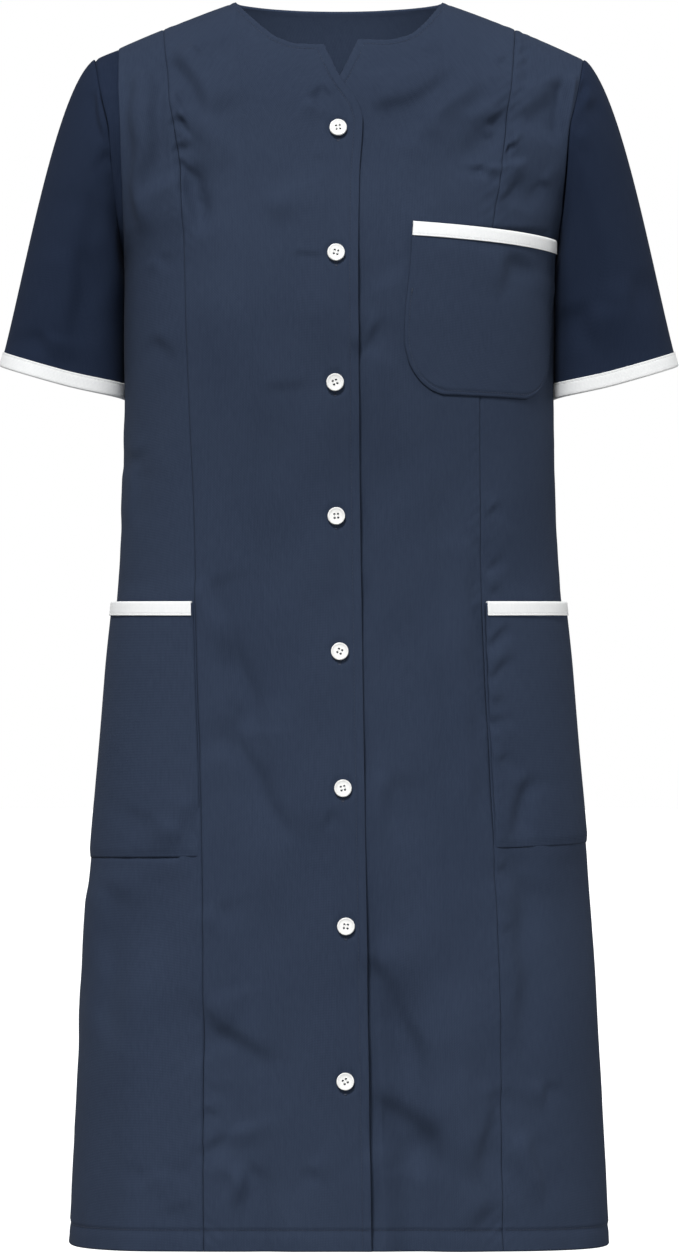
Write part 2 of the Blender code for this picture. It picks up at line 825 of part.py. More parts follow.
def linear(value):
    """sRGB hex colour as linear RGBA."""
    parts = [int(value[k:k + 2], 16) / 255 for k in (1, 3, 5)]
    parts = [p / 12.92 if p <= 0.04045 else ((p + 0.055) / 1.055) ** 2.4 for p in parts]
    return (*parts, 1)


def finish_of(name, colour, roughness):
    material = bpy.data.materials.new(name)
    material.use_nodes = True
    shader = material.node_tree.nodes["Principled BSDF"]
    shader.inputs["Base Color"].default_value = linear(colour)
    shader.inputs["Roughness"].default_value = roughness
    shader.inputs["Metallic"].default_value = 0
    return material


def main():
    for piece in list(bpy.data.objects):
        bpy.data.objects.remove(piece)
    navy = finish_of("navy_polycotton", "#353E4F", 0.85)
    white = finish_of("white_binding", "#F1F2F2", 0.8)
    pearl = finish_of("white_button", "#F4F4F2", 0.3)
    build_front_right(navy)
    build_front_left(navy)
    build_side_front("side_front_right", -1, navy)
    build_side_front("side_front_left", 1, navy)
    build_back(navy)
    for word, side in (("right", -1), ("left", 1)):
        build_sleeve(f"sleeve_{word}", side, navy)
        build_cuff_trim(f"cuff_trim_{word}", side, white)
        build_hip_pocket(f"hip_pocket_{word}", side, navy)
        build_hip_trim(f"hip_pocket_trim_{word}", side, white)
    build_breast_pocket(navy)
    build_breast_trim(white)
    build_buttons(pearl)
    carrier = bpy.data.objects.new("dress", None)
    bpy.context.collection.objects.link(carrier)
    bpy.context.view_layer.update()
    for piece in list(bpy.data.objects):
        if piece is not carrier:
            piece.parent = carrier


main()
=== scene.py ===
"""Looks of a nurse uniform dress: navy cloth, white bindings, buttons and all of the sewing.

Each cut piece is a thin shell on the form of its solid, with the creases, puckers and turned
edges that its sewing gives it. Tables are in millimetres. `across` is the distance from the
middle line towards the piece's own side, except for folds, creases and buttons, where it grows
to the wearer's left. The front faces -Y, and side -1 is the wearer's right.
"""
import math
import bpy
import bmesh
import numpy as np
from mathutils import Matrix, Vector


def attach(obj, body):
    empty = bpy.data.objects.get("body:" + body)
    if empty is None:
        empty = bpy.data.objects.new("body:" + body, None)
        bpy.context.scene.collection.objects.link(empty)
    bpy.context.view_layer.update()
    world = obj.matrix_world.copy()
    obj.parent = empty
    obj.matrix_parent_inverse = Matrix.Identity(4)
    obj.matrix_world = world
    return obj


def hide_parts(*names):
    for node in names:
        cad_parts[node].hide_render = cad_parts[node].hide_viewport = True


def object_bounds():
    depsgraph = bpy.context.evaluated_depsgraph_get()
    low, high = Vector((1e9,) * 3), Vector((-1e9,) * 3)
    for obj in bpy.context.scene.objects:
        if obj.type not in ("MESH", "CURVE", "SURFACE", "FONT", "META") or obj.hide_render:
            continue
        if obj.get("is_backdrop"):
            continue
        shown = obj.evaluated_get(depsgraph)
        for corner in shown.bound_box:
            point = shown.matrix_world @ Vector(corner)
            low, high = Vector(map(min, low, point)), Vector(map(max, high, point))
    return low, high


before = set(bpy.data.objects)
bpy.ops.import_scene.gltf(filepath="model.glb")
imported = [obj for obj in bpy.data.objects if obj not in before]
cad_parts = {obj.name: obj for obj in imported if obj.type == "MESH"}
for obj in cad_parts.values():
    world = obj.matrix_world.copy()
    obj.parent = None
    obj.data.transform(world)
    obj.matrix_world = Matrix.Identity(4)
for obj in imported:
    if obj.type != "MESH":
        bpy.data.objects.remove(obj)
cad_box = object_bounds()

MM = 0.001
SIDE_WORDS = {-1: "right", 1: "left"}
BEHIND = (0, 0.3, -0.5)     # a place behind the whole front
BEFORE = (0, -0.3, -0.5)    # and one before the whole back

# Cloth of the solids, which the shells follow
WALL = 1.2 * MM
GAP = 0.3 * MM
ARMHOLE_GAP = 0.6 * MM
UNDERLAP_DROP = 2.4 * MM
UNDERLAP_DIP = 1.8          # how much further it sinks for each unit that the edge above it lifts
UNDERLAP_LEVEL = 42 * MM    # how far past the placket's edge the under front is level again
UNDERLAP_LIP = 12 * MM      # and how far past it the further sinking ends
UNDERLAP_CLOSE = 14.2 * MM  # and how far past it the closer columns of its cells go
BINDING = 0.8 * MM
BINDING_GAP = 0.4 * MM
BINDING_HEIGHT = 11.5 * MM

# Shells: the cloth where an edge is turned under, its share elsewhere, and the binding's tape
DOUBLED = 1.7 * MM
SINGLE_SHARE = 0.5
TAPE = 0.7 * MM

# Body form, as in the solids
SQUARENESS = 2.3
NECK_HALF = 86 * MM
SHOULDER_SLOPE = 0.33
SHOULDER_BEND = 0.62
FRONT_ROUND = 90 * MM
BACK_ROUND = 105 * MM
UNDERARM = -225 * MM
TIP = -47 * MM
SIDE_HEM = -1031.5 * MM
HEM_RISE = 6 * MM
YOKE = -130 * MM
BODICE_END = -450 * MM

BODY_COLUMNS = ("height", "half_width", "front_depth", "back_depth")
BODY = (
    (0, 262, 72, 99),
    (-58, 250, 84, 104),
    (-90, 238, 94, 111),
    (-135, 213, 108, 117),
    (-178, 193, 122, 121),
    (-225, 179.5, 133, 122),
    (-270, 179, 138, 121),
    (-330, 178.5, 137, 118),
    (-410, 180, 132, 116),
    (-480, 183.5, 133, 120),
    (-560, 192, 138, 129),
    (-700, 205.5, 148, 144),
    (-850, 215.5, 158, 156),
    (-1035, 225, 168, 168),
)

SEAM_COLUMNS = ("height", "armhole", "head_right", "princess_right", "princess_left", "placket")
SEAMS = (
    (0, 216, 185, 148, 148, 20.1),
    (-47, 203.5, 183, 144, 144.5, 20.1),
    (-80, 197, 182, 141, 141, 20.1),
    (-110, 190, 180.5, 136, 138, 19.5),
    (-148, 187, 179.5, 131, 132.5, 17),
    (-202, 182, 178, 127.5, 125, 16),
    (-225, 179.5, 179.2, 127, 122.5, 15.8),
    (-330, 179, 179, 123.5, 115.5, 16.5),
    (-430, 179, 179, 119, 116, 17.5),
    (-560, 179, 179, 116, 120, 19.5),
    (-660, 179, 179, 113, 125.5, 21),
    (-780, 179, 179, 111, 129.5, 23),
    (-930, 179, 179, 111, 133, 25),
    (-1035, 179, 179, 110, 134, 26.7),
)

EDGE_COLUMNS = ("across", "height")
NECK_RIGHT = ((12.4, -39.5), (34.6, -38.6), (50.3, -33.3), (69.4, -17.9), (80, -7), (86, 0))
NECK_LEFT = ((15.7, -34.2), (37.9, -35.1), (56.9, -31.0), (71.1, -19.7), (81, -7), (86, 0))
NOTCH = ((-20.1, -104.4), (-16.4, -91), (-0.8, -67.2))     # up to the neck edge's first point
BACK_NECK_DROP = 3.5 * MM

# Broad folds, as in the solids, for each face
FOLD_COLUMNS = ("top_across", "top_height", "low_across", "low_height", "breadth", "depth")
RUNS_OUT = -1000            # a fold that ends below this height runs out through the hem
FOLDS = {"front": (
    (172, -62, 92, -150, 13, -2.6),
    (118, -52, 66, -122, 12, 1.8),
    (-137, -82, -112, -205, 11, -2.4),
    (-160, -70, -152, -200, 11, 1.6),
    (-100, -515, -50, -680, 15, -3.2),
    (142, -600, 150, -800, 17, -2.4),
    (50, -780, 62, -1035, 20, -4.5),
    (92, -800, 98, -1035, 20, 2.8),
    (-105, -820, -62, -1035, 20, -2.8),
    (-160, -760, -166, -1035, 22, 2.6),
), "back": (
    (-150, -75, -95, -190, 14, -2.4),
    (158, -80, 108, -205, 15, -2.8),
    (-70, -330, -92, -520, 18, -3.0),
    (84, -350, 76, -560, 18, -2.6),
    (-112, -640, -138, -1035, 24, -5.0),
    (-20, -700, -8, -1035, 26, -4.0),
    (104, -620, 128, -1035, 22, -4.6),
    (58, -760, 60, -1035, 24, 3.0),
)}

# Creases that the sewing and wear leave, finer than the broad folds. Each has a line of two to
# four places, across and height. Its steepness is the cloth's slope there: below 0 it faces away
# from the light, and the line is dark
CREASE_COLUMNS = ("breadth", "steepness", "places")
CREASES = {"front": (
    # right side front
    (9, 0.35, ((-171, -56), (-169.5, -107), (-165, -200))),
    (9, -0.45, ((-166, -50), (-156, -67), (-153, -105), (-148, -200))),
    (7, 0.35, ((-146, -70), (-143, -120), (-138, -165))),
    (4, -0.35, ((-148, -213), (-143, -233))),
    (7, -0.3, ((-154, -277), (-132, -303))),
    (8, -0.3, ((-175, -381), (-154, -368))),
    (6, -0.35, ((-168, -385), (-171, -441))),
    # right front, beside its princess seam
    (9, -0.55, ((-141, -44), (-120, -71), (-100, -106))),
    (5, -0.7, ((-118, -36), (-114, -55))),
    (7, 0.35, ((-109, -39), (-100, -60))),
    (4, 0.6, ((-137, -76), (-119, -112))),
    (4, -0.8, ((-136, -97), (-122, -108))),
    (3, 0.7, ((-135.5, -103), (-120, -121))),
    (4, -0.8, ((-134, -120), (-123, -129))),
    (4, -0.75, ((-134, -131), (-120, -147))),
    (4, 0.5, ((-130, -144), (-116, -160))),
    (9, -0.7, ((-132, -142), (-123, -170), (-116, -202))),
    (13, 0.2, ((-118, -100), (-94, -166))),
    (11, -0.3, ((-106, -81), (-84, -151))),
    # right front, towards the buttons
    (11, 0.28, ((-68, -171), (-10, -151))),
    (13, -0.22, ((-68, -183), (-24, -179))),
    (7, -0.2, ((-24, -135), (-4, -139))),
    (5, 0.75, ((-28, -84), (-7, -99))),
    (4, -0.5, ((-16, -72), (-4, -86))),
    (3, -0.5, ((-38, -214), (-10, -216))),
    (6, -0.25, ((-63, -323), (-14, -322))),
    # left front
    (9, -0.5, ((24, -99), (50, -87), (76, -73), (104, -56))),
    (6, -0.3, ((65, -41), (91, -48))),
    (9, 0.28, ((14, -73), (44, -62), (90, -52))),
    (11, 0.38, ((40, -130), (84, -94), (120, -66), (137, -50))),
    (9, -0.4, ((72, -111), (103, -84), (128, -59))),
    (5, -0.6, ((127, -56), (142, -48))),
    (5, -0.3, ((120, -72), (138, -64))),
    (7, 0.6, ((103, -103), (120, -90), (138, -77))),
    (5, -0.75, ((118, -108), (128, -101), (141, -95))),
    (4, -0.5, ((118, -120), (133, -110))),
    (5, 1.2, ((120, -139), (121, -152))),
    # left side front
    (4, -0.7, ((147, -43), (158, -38))),
    (4, -0.5, ((147, -55), (160, -51))),
    (5, 0.75, ((146, -75), (162, -70), (180, -56))),
    (11, -0.9, ((142, -110), (164, -88), (184, -60))),
    (6, 1.0, ((185, -62), (188, -92), (182, -126))),
    (4, -1.0, ((139, -122), (147, -126))),
    (4, 1.1, ((137, -140), (157, -134))),
    (7, -0.65, ((133, -176), (142, -159), (160, -144))),
    (6, -0.3, ((164, -150), (177, -159))),
    (9, 0.25, ((150, -181), (179, -157))),
    # beside the placket, between the second and the fourth button
    (6, -0.7, ((17, -298), (26, -282), (39, -264))),
    (8, 0.3, ((20, -250), (40, -236), (62, -212))),
    # left princess seam at the waist
    (4, -0.5, ((121, -429), (133, -413))),
    (4, -0.35, ((121, -474), (138, -455))),
    (5, 0.35, ((119, -480), (141, -465))),
    (6, -0.4, ((123, -491), (135, -483))),
    (11, -0.18, ((108, -440), (108, -538), (112, -690))),
    # hips
    (9, -0.35, ((-106, -473), (-97, -520), (-83, -567), (-74, -606))),
    (11, -0.34, ((-79, -592), (-70, -632), (-53, -657), (-34, -700))),
    (12, 0.2, ((-94, -608), (-76, -652))),
    (5, -0.35, ((0, -665), (-11, -678), (-13, -690))),
    (9, -0.3, ((41, -634), (38, -701))),
    # right half of the skirt
    (11, -0.32, ((-109, -812), (-97, -843), (-74, -860), (-38, -866))),
    (12, 0.22, ((-106, -851), (-80, -874))),
    (7, -0.25, ((-110, -894), (-80, -892))),
    (5, -0.5, ((-113, -908), (-94, -918))),
    (10, -0.35, ((-93, -928), (-82, -950))),
    (7, -0.5, ((-75, -953), (-80, -996))),
    (6, 0.5, ((-87, -959), (-90, -994))),
    (6, -0.25, ((-138, -964), (-111, -949))),
    (7, -0.25, ((-147, -998), (-108, -985))),
    (7, 0.25, ((-152, -959), (-161, -982))),
    (11, -0.3, ((-192, -728), (-194, -875))),
    (7, -0.3, ((-103, -742), (-94, -774))),
    (6, -0.3, ((-27, -955), (-11, -972))),
    # left half of the skirt
    (11, -0.28, ((18, -780), (50, -826), (64, -858), (69, -896))),
    (13, -0.36, ((20, -898), (54, -913), (77, -932), (88, -972))),
    (15, 0.2, ((46, -929), (74, -978))),
    (5, -0.25, ((116, -905), (130, -892))),
    (9, -0.32, ((131, -888), (118, -930), (112, -972))),
    (11, -0.35, ((128, -980), (112, -1000), (96, -1019))),
    (12, 0.25, ((137, -927), (151, -996))),
    (9, -0.3, ((155, -928), (169, -1000))),
    (5, -0.45, ((169, -888), (167, -916))),
    (11, -0.3, ((145, -720), (148, -873))),
    (5, -0.35, ((130, -769), (144, -758))),
    (5, -0.2, ((130, -812), (141, -805))),
    (5, -0.35, ((130, -719), (140, -711))),
), "pocket": (
    # hip pockets, then the breast pocket
    (8, -0.4, ((-114, -656), (-128, -684), (-148, -712))),
    (11, 0.22, ((-146, -671), (-161, -702))),
    (3.5, -0.45, ((119, -535), (142, -513))),
    (4, 0.35, ((120, -546), (146, -522))),
    (4, -0.55, ((120, -562), (144, -538))),
    (5, -0.4, ((122, -582), (137, -572))),
    (5, -0.6, ((121, -591), (123, -610))),
    (4, -0.45, ((129, -631), (139, -619))),
    (8, -0.45, ((154, -636), (144, -677), (134, -700))),
    (8, 0.3, ((160, -642), (154, -698))),
    (10, -0.4, ((145, -208), (136, -230), (126, -256))),
    (10, 0.2, ((163, -221), (150, -247))),
), "sleeve": (
    (4, 0.6, ((-201, -75), (-199, -98), (-192, -121))),
    (7, -0.4, ((-195, -125), (-181, -137))),
    (9, 0.3, ((-242, -274), (-244, -301))),
    (11, -0.25, ((-217, -200), (-221, -301))),
    (11, 0.22, ((-201, -150), (-202, -274))),
    (4, -0.9, ((202, -64), (197, -79), (193, -96))),
    (3, 0.6, ((208, -69), (197, -92))),
    (7, -0.5, ((215, -82), (198, -99))),
    (5, 0.4, ((193, -114), (210, -106))),
    (9, -0.2, ((194, -127), (207, -122))),
    (12, 0.3, ((207, -249), (209, -297))),
    (10, -0.25, ((237, -225), (249, -274))),
), "sleeve_back": (
    (8, -0.5, ((-206, -78), (-192, -126))),
    (8, -0.35, ((-216, -104), (-198, -150))),
    (12, -0.25, ((-206, -170), (-214, -290))),
    (12, 0.2, ((-238, -200), (-246, -300))),
    (8, -0.5, ((204, -72), (192, -112))),
    (8, -0.35, ((218, -96), (196, -140))),
    (12, -0.25, ((202, -180), (206, -292))),
    (12, 0.2, ((234, -190), (244, -296))),
), "back": (
    (9, -0.35, ((-176, -60), (-160, -88), (-140, -122))),
    (10, -0.35, ((174, -66), (162, -96), (144, -130))),
    (12, 0.15, ((-60, -60), (-24, -70))),
    (12, -0.15, ((40, -52), (82, -40))),
    (10, -0.35, ((-136, -146), (-122, -176), (-100, -198))),
    (9, -0.35, ((144, -166), (130, -196), (108, -216))),
    (9, -0.25, ((-118, -214), (-160, -240))),
    (9, -0.28, ((122, -232), (164, -252))),
    (12, -0.28, ((-36, -388), (-66, -374), (-100, -376))),
    (10, -0.25, ((-48, -420), (-80, -434), (-112, -434))),
    (12, -0.3, ((40, -402), (74, -386), (108, -388))),
    (10, -0.25, ((56, -442), (88, -454), (120, -450))),
    (12, -0.2, ((12, -470), (34, -492), (46, -524))),
    (12, -0.25, ((-154, -560), (-146, -600), (-128, -640))),
    (12, -0.25, ((150, -580), (148, -624), (134, -668))),
    (14, -0.22, ((-68, -700), (-60, -742), (-38, -782))),
    (12, -0.22, ((38, -690), (44, -724), (64, -754))),
    (14, -0.25, ((-94, -850), (-88, -894), (-66, -930))),
    (14, -0.22, ((18, -880), (24, -924), (48, -962))),
    (14, -0.22, ((150, -840), (154, -884), (170, -922))),
    (12, -0.22, ((-164, -900), (-158, -942), (-142, -980))),
)}

# Puckers that slant away from the princess seams: how deep they are at each height
PUCKER_COLUMNS = ("height", "right", "left")
PUCKERS = (
    (0, 0.2, 0.3),
    (-50, 0.3, 0.5),
    (-90, 0.4, 0.6),
    (-140, 0.5, 0.6),
    (-180, 0.4, 0.5),
    (-215, 0.2, 0.4),
    (-300, 0.1, 0.2),
    (-420, 0.1, 0.5),
    (-480, 0.15, 0.5),
    (-560, 0.2, 0.4),
    (-720, 0.15, 0.3),
    (-800, 0.2, 0.35),
    (-900, 0.35, 0.35),
    (-1000, 0.4, 0.4),
    (-1035, 0.3, 0.3),
)
PUCKER_SPACING = 11 * MM
PUCKER_REACH = 15 * MM
PUCKER_SLANT = 0.8          # how far they slant, down for each unit away from the seam
PUCKER_STRENGTH = 0.9
SMOOTH_SIDE = 0.3           # share of the puckers that the right side front keeps

# Creases that run with the light show less, so they are made steeper than the others
LIGHT_AWAY = np.array((0.37, -0.93))
WITH_LIGHT = 0.6            # how much steeper
WANDER = 1.8 * MM           # how far creases stray from straight lines
WANDER_LONG = 9 * MM
FOLD_STRENGTH = 1.2         # depth of the broad folds beside the solids' own
SLACK = 1.3 * MM            # how far the loose cloth wanders between its seams

# How far the over front's free edge curls up at each height
CURL_COLUMNS = ("height", "lift")
CURLS = (
    (-100, 0.2),
    (-150, 0.1),
    (-205, 0.5),
    (-240, 1.7),
    (-262, 0.8),
    (-283, 1.9),
    (-305, 0.4),
    (-345, 1.0),
    (-400, 0.3),
    (-436, 1.1),
    (-470, 0.4),
    (-495, 1.3),
    (-540, 0.5),
    (-590, 0.3),
    (-640, 1.3),
    (-690, 0.6),
    (-760, 1.4),
    (-800, 1.6),
    (-840, 1.0),
    (-880, 2.3),
    (-930, 1.7),
    (-975, 2.2),
    (-1035, 1.0),
)
CURL_REACH = 16 * MM

# Small pulls that the sewing leaves in the cloth beside it: their depth, their spacing, how far
# from the edge they are deepest, and how soon they fade from there
PULLS = {
    "hem": (0.45, 16, 17.5, 12),
    "side seam": (0.35, 14, 0, 9),
    "sleeve": (0.45, 9, 5, 6),
    "sleeve head": (0.45, 8, 5, 6),
    "hip pocket": (0.4, 10, 3, 8),
    "binding": (0.08, 6, 1, 3),
}

# Sewing: the first five are from an edge to its line of stitches
PLACKET_STITCH = 7.2 * MM
NECK_STITCH = 5 * MM
HEM_STITCH = 17.5 * MM
TAPE_STITCH = 1.6 * MM
POCKET_STITCH = 3.9 * MM
POCKET_OPEN = 58 * MM       # the breast pocket's inner edge is free down to here, from its mouth
STITCH_LONG = 2.3 * MM
STITCH_STEP = 2.9 * MM
STITCH_THICK = 0.42 * MM
STITCH_GROOVE = 0.55 * MM   # depth of the grooves that the lines of stitches lie in
HEM_GROOVE = 0.8 * MM
TAPE_GROOVE = 0.22 * MM
TAPE_WAVE = 0.12 * MM       # slow unevenness of the bindings
BAND_RISE = 0.35 * MM       # an edge turned under stands this much higher than one layer
BAND_PULL = 0.3 * MM        # depth of the pulls in it
SEAM_DEEP = 0.6 * MM
SEAM_BROAD = 1.1 * MM
SEAM_TUCK = 3 * MM          # how far the cloth turns in at a seam
SEAM_OVERLAP = 0.05 * MM
EDGE_ROUND = 0.9 * MM

# Sleeves, as in the solids
CUFF_MIDDLE = np.array((231.5, 15, -316)) * MM
CUFF_HALF_WIDTH = 53 * MM
CUFF_HALF_DEPTH = 58 * MM
CUFF_TILT = math.radians(15.5)
CUFF_RISE = 0.045
SLEEVE_TOP_START = np.array((0.80, 0, -0.60))      # the way it leaves the armhole at the top
SLEEVE_LOW_START = np.array((0.05, 0.04, -1.0))    # and under the arm
SLEEVE_TOP_PULL = 0.45      # how far it keeps to those ways, and to the way it ends
SLEEVE_LOW_PULL = 0.80
SLEEVE_END_PULL = 0.80
HUG_TOP = 3.4 * MM          # how far the sleeves' inner sides lie in against the body
HUG_LOW = 3 * MM
HUG_WIDE = 0.95             # how far round from the underarm line, in radians
CORNER_IN = 4 * MM          # how much squarer the sleeves are beside the body than an ellipse
CORNER_OUT = 6 * MM
HEAD_DROP = 5 * MM          # how far the right sleeve's head lies below the side front's edge
HEAD_REACH = 9 * MM
HEAD_FOLD = 1.5 * MM        # depth of the fold where it turns down into the sleeve

# Pockets, as in the solids
HIP_TOP = -499 * MM
HIP_LONG = 210 * MM
HIP_FLOORS = {-1: (-707, -711), 1: (-700, -698)}   # their lower edges' heights, inner and outer
HIP_MOUTH = 2.6 * MM        # how far the mouths stand off the panel, and beside the seam
HIP_MOUTH_SEAM = 2.0 * MM
HIP_INSET = 1.0 * MM
POCKET_SEAT = 0.5 * MM      # how far the rest of them stands off
POCKET_HOLLOW = 3 * MM      # room under the pockets for their own creases
POCKET_PRESS = 0.9 * MM     # how far their sewn edges are pressed down
POCKET_CALM = 20 * MM       # how near a pocket the cloth's slow unevenness fades
# The breast pocket's edges, a share of the way down from its mouth
BREAST_COLUMNS = ("down", "inner", "outer")
BREAST = (
    (0, 60.0, 175.5),
    (0.28, 57.0, 176.0),
    (0.53, 53.5, 174.5),
    (0.68, 52.9, 173.5),
    (0.80, 56.0, 172.0),
    (0.90, 63.5, 168.0),
    (0.97, 74.5, 161.0),
    (1.0, 84.8, 153.0),
)
BREAST_TOP = (-189.5, -199.5)       # heights at the inner and the outer edge
BREAST_FLOOR = (-330.5, -333.0)
BREAST_MOUTH = 2.7 * MM
BREAST_SEAT = 0.8 * MM
BREAST_LONG = 140 * MM

# Buttons, from the neck down. `turned` is in degrees
BUTTON_COLUMNS = ("across", "height", "turned")
BUTTONS = (
    (-0.7, -111.0, 8),
    (-2.4, -214.6, -14),
    (-3.2, -320.3, 22),
    (-2.2, -429.1, 4),
    (0.6, -539.4, -25),
    (3.2, -650.7, 12),
    (5.6, -762.6, -6),
    (5.1, -888.0, 30),
)
BUTTON_DENTS = ((0.5, 0, 8), (1.1, 7.6, 1.8))   # in the cloth: depth, distance out and breadth
BUTTON_RADIUS = 7.2 * MM
BUTTON_HEIGHT = 2.6 * MM
HOLE_RADIUS = 0.95 * MM
HOLE_SPREAD = 1.45 * MM
BUTTONHOLE_LONG = 17 * MM
BUTTONHOLE_WIDE = 2.6 * MM
BUTTONHOLE_LOWER = 2.2 * MM     # how far below the button's middle the buttonhole's is

# The photograph: its size in pixels, and the real size and place of what it shows
PHOTO_HIGH = 1260
PIXEL = 0.8327 * MM
CAMERA_AWAY = 6.0
CAMERA_MIDDLE = (0.0004, -0.522)
SENSOR = 36.0
FLOOR = -1.42               # where the wearer's feet would stand


def column(rows, names, name):
    """One column of a table."""
    index = names.index(name)
    return np.array([row[index] for row in rows], float)


def curve_at(xs, ys, x):
    """Heights at x of a smooth curve through the points, whose xs rise."""
    x = np.clip(x, xs[0], xs[-1])
    rises = np.diff(ys) / np.diff(xs)
    before, after = rises[:-1], rises[1:]
    middle = np.zeros(len(before))
    np.divide(2 * before * after, before + after, out=middle, where=before * after > 0)
    slopes = np.concatenate((rises[:1], middle, rises[-1:]))
    i = np.clip(np.searchsorted(xs, x, side="right") - 1, 0, len(xs) - 2)
    step = xs[i + 1] - xs[i]
    t = (x - xs[i]) / step
    start = (2 * t - 3) * t * t * (ys[i] - ys[i + 1]) + ys[i]
    return start + step * t * (1 - t) * ((1 - t) * slopes[i] - t * slopes[i + 1])


def level(rows, names, name, height):
    """Value of a table's column at a height, in metres."""
    heights = -column(rows, names, "height")
    return curve_at(heights, column(rows, names, name), -height / MM) * MM


def body_size(name, height):
    return level(BODY, BODY_COLUMNS, name, height)


def seam(name, height):
    return level(SEAMS, SEAM_COLUMNS, name, height)


def across_curve(points, across):
    xs = column(points, EDGE_COLUMNS, "across")
    return curve_at(xs, column(points, EDGE_COLUMNS, "height"), across / MM) * MM


def mix(a, b, share):
    return a + (b - a) * share


def soft_step(value, low, high):
    share = np.clip((value - low) / (high - low), 0, 1)
    return share * share * (3 - 2 * share)


def signed_power(value, power):
    return np.sign(value) * np.abs(value) ** power


def shoulder_height(across):
    away = np.maximum(np.abs(across) - NECK_HALF, 0)
    return -(SHOULDER_SLOPE * away + SHOULDER_BEND * away * away)


def rounding(share, swell, power):
    """How much of its full depth the cloth has, a share of the way down from the shoulder."""
    return (1 - (1 - np.minimum(share, 1)) ** swell) ** power


def unit(vectors):
    return vectors / np.maximum(np.linalg.norm(vectors, axis=-1, keepdims=True), 1e-9)


def bare_point(turn, height):
    """Points of the body's face: turn 0 is the middle of the front, and it grows to the side."""
    turn, height = np.broadcast_arrays(turn, height)
    across = body_size("half_width", height) * signed_power(np.sin(turn), 2 / SQUARENESS)
    facing = np.cos(turn)
    fall = np.maximum(shoulder_height(across) - height, 0)
    front = body_size("front_depth", height) * rounding(fall / FRONT_ROUND, 2, 0.5)
    behind_neck = rounding(fall / BACK_ROUND, 1.2, 0.28)
    behind_shoulder = rounding(fall / BACK_ROUND, 2, 0.5)
    beside = soft_step(np.abs(across), NECK_HALF * 0.55, NECK_HALF * 1.4)
    back = body_size("back_depth", height) * mix(behind_neck, behind_shoulder, beside)
    depth = np.where(facing >= 0, front, back)
    away = depth * np.abs(facing) ** (2 / SQUARENESS) + GAP / 2
    return np.stack((across, np.where(facing >= 0, -away, away), height), -1)


def turn_at(across, height):
    """Turn on the front at which the body's face is that far across."""
    share = np.minimum(np.abs(across) / body_size("half_width", height), 1)
    return np.copysign(np.arcsin(share ** (SQUARENESS / 2)), across)


def body_normal(turn, height):
    spread = 0.012
    rise = 2 * MM
    sideways = bare_point(turn + spread, height) - bare_point(turn - spread, height)
    down = bare_point(turn, height - rise) - bare_point(turn, height + rise)
    normal = unit(np.cross(down, sideways))
    across = bare_point(turn, height)[..., 0]
    fall = shoulder_height(across) - height
    slope = np.where(np.abs(across) > NECK_HALF, SHOULDER_SLOPE, 0)
    upright = unit(np.stack((np.copysign(slope, across), 0 * slope, 1 + 0 * slope), -1))
    return unit(mix(normal, upright, (1 - soft_step(fall, 0, 2.5 * MM))[..., None]))


def soft_folds(face, point):
    """How far a face's broad folds move the cloth out at each point."""
    total = np.zeros(point.shape[:-1])
    place = point[..., (0, 2)]
    for row in FOLDS[face]:
        fold = dict(zip(FOLD_COLUMNS, row))
        start = np.array((fold["top_across"], fold["top_height"])) * MM
        along = np.array((fold["low_across"], fold["low_height"])) * MM - start
        share = (place - start) @ along / (along @ along)
        near = start + np.clip(share, 0, 1)[..., None] * along
        away = np.linalg.norm(place - near, axis=-1) / (fold["breadth"] * MM)
        ends = soft_step(share, 0, 0.25)
        if fold["low_height"] > RUNS_OUT:
            ends = ends * soft_step(1 - share, 0, 0.25)
        total += fold["depth"] * MM * ends * np.exp(-away * away)
    return total


def near_line(points, line):
    """Distance of each point to a line of points, and where along the line the nearest place is."""
    flat = points.reshape(-1, line.shape[-1])
    starts, runs = line[:-1], np.diff(line, axis=0)
    lengths = np.linalg.norm(runs, axis=1)
    before = np.concatenate(((0,), np.cumsum(lengths)[:-1]))
    distance = np.empty(len(flat))
    along = np.empty(len(flat))
    for first in range(0, len(flat), 4000):
        part = flat[first:first + 4000, None, :]
        share = np.sum((part - starts) * runs, axis=-1) / np.maximum(lengths ** 2, 1e-12)
        share = np.clip(share, 0, 1)
        away = np.linalg.norm(part - starts - share[..., None] * runs, axis=-1)
        best = np.argmin(away, axis=1)
        row = np.arange(len(best))
        distance[first:first + 4000] = away[row, best]
        along[first:first + 4000] = before[best] + share[row, best] * lengths[best]
    shape = points.shape[:-1]
    return distance.reshape(shape), along.reshape(shape)


def smooth_line(points):
    """A smooth line through a few points."""
    steps = np.linalg.norm(np.diff(points, axis=0), axis=1)
    along = np.concatenate(((0,), np.cumsum(steps)))
    degree = len(points) - 1
    places = np.linspace(0, along[-1], 1 + 5 * degree)
    return np.stack([np.polyval(np.polyfit(along, values, degree), places) for values in points.T], -1)


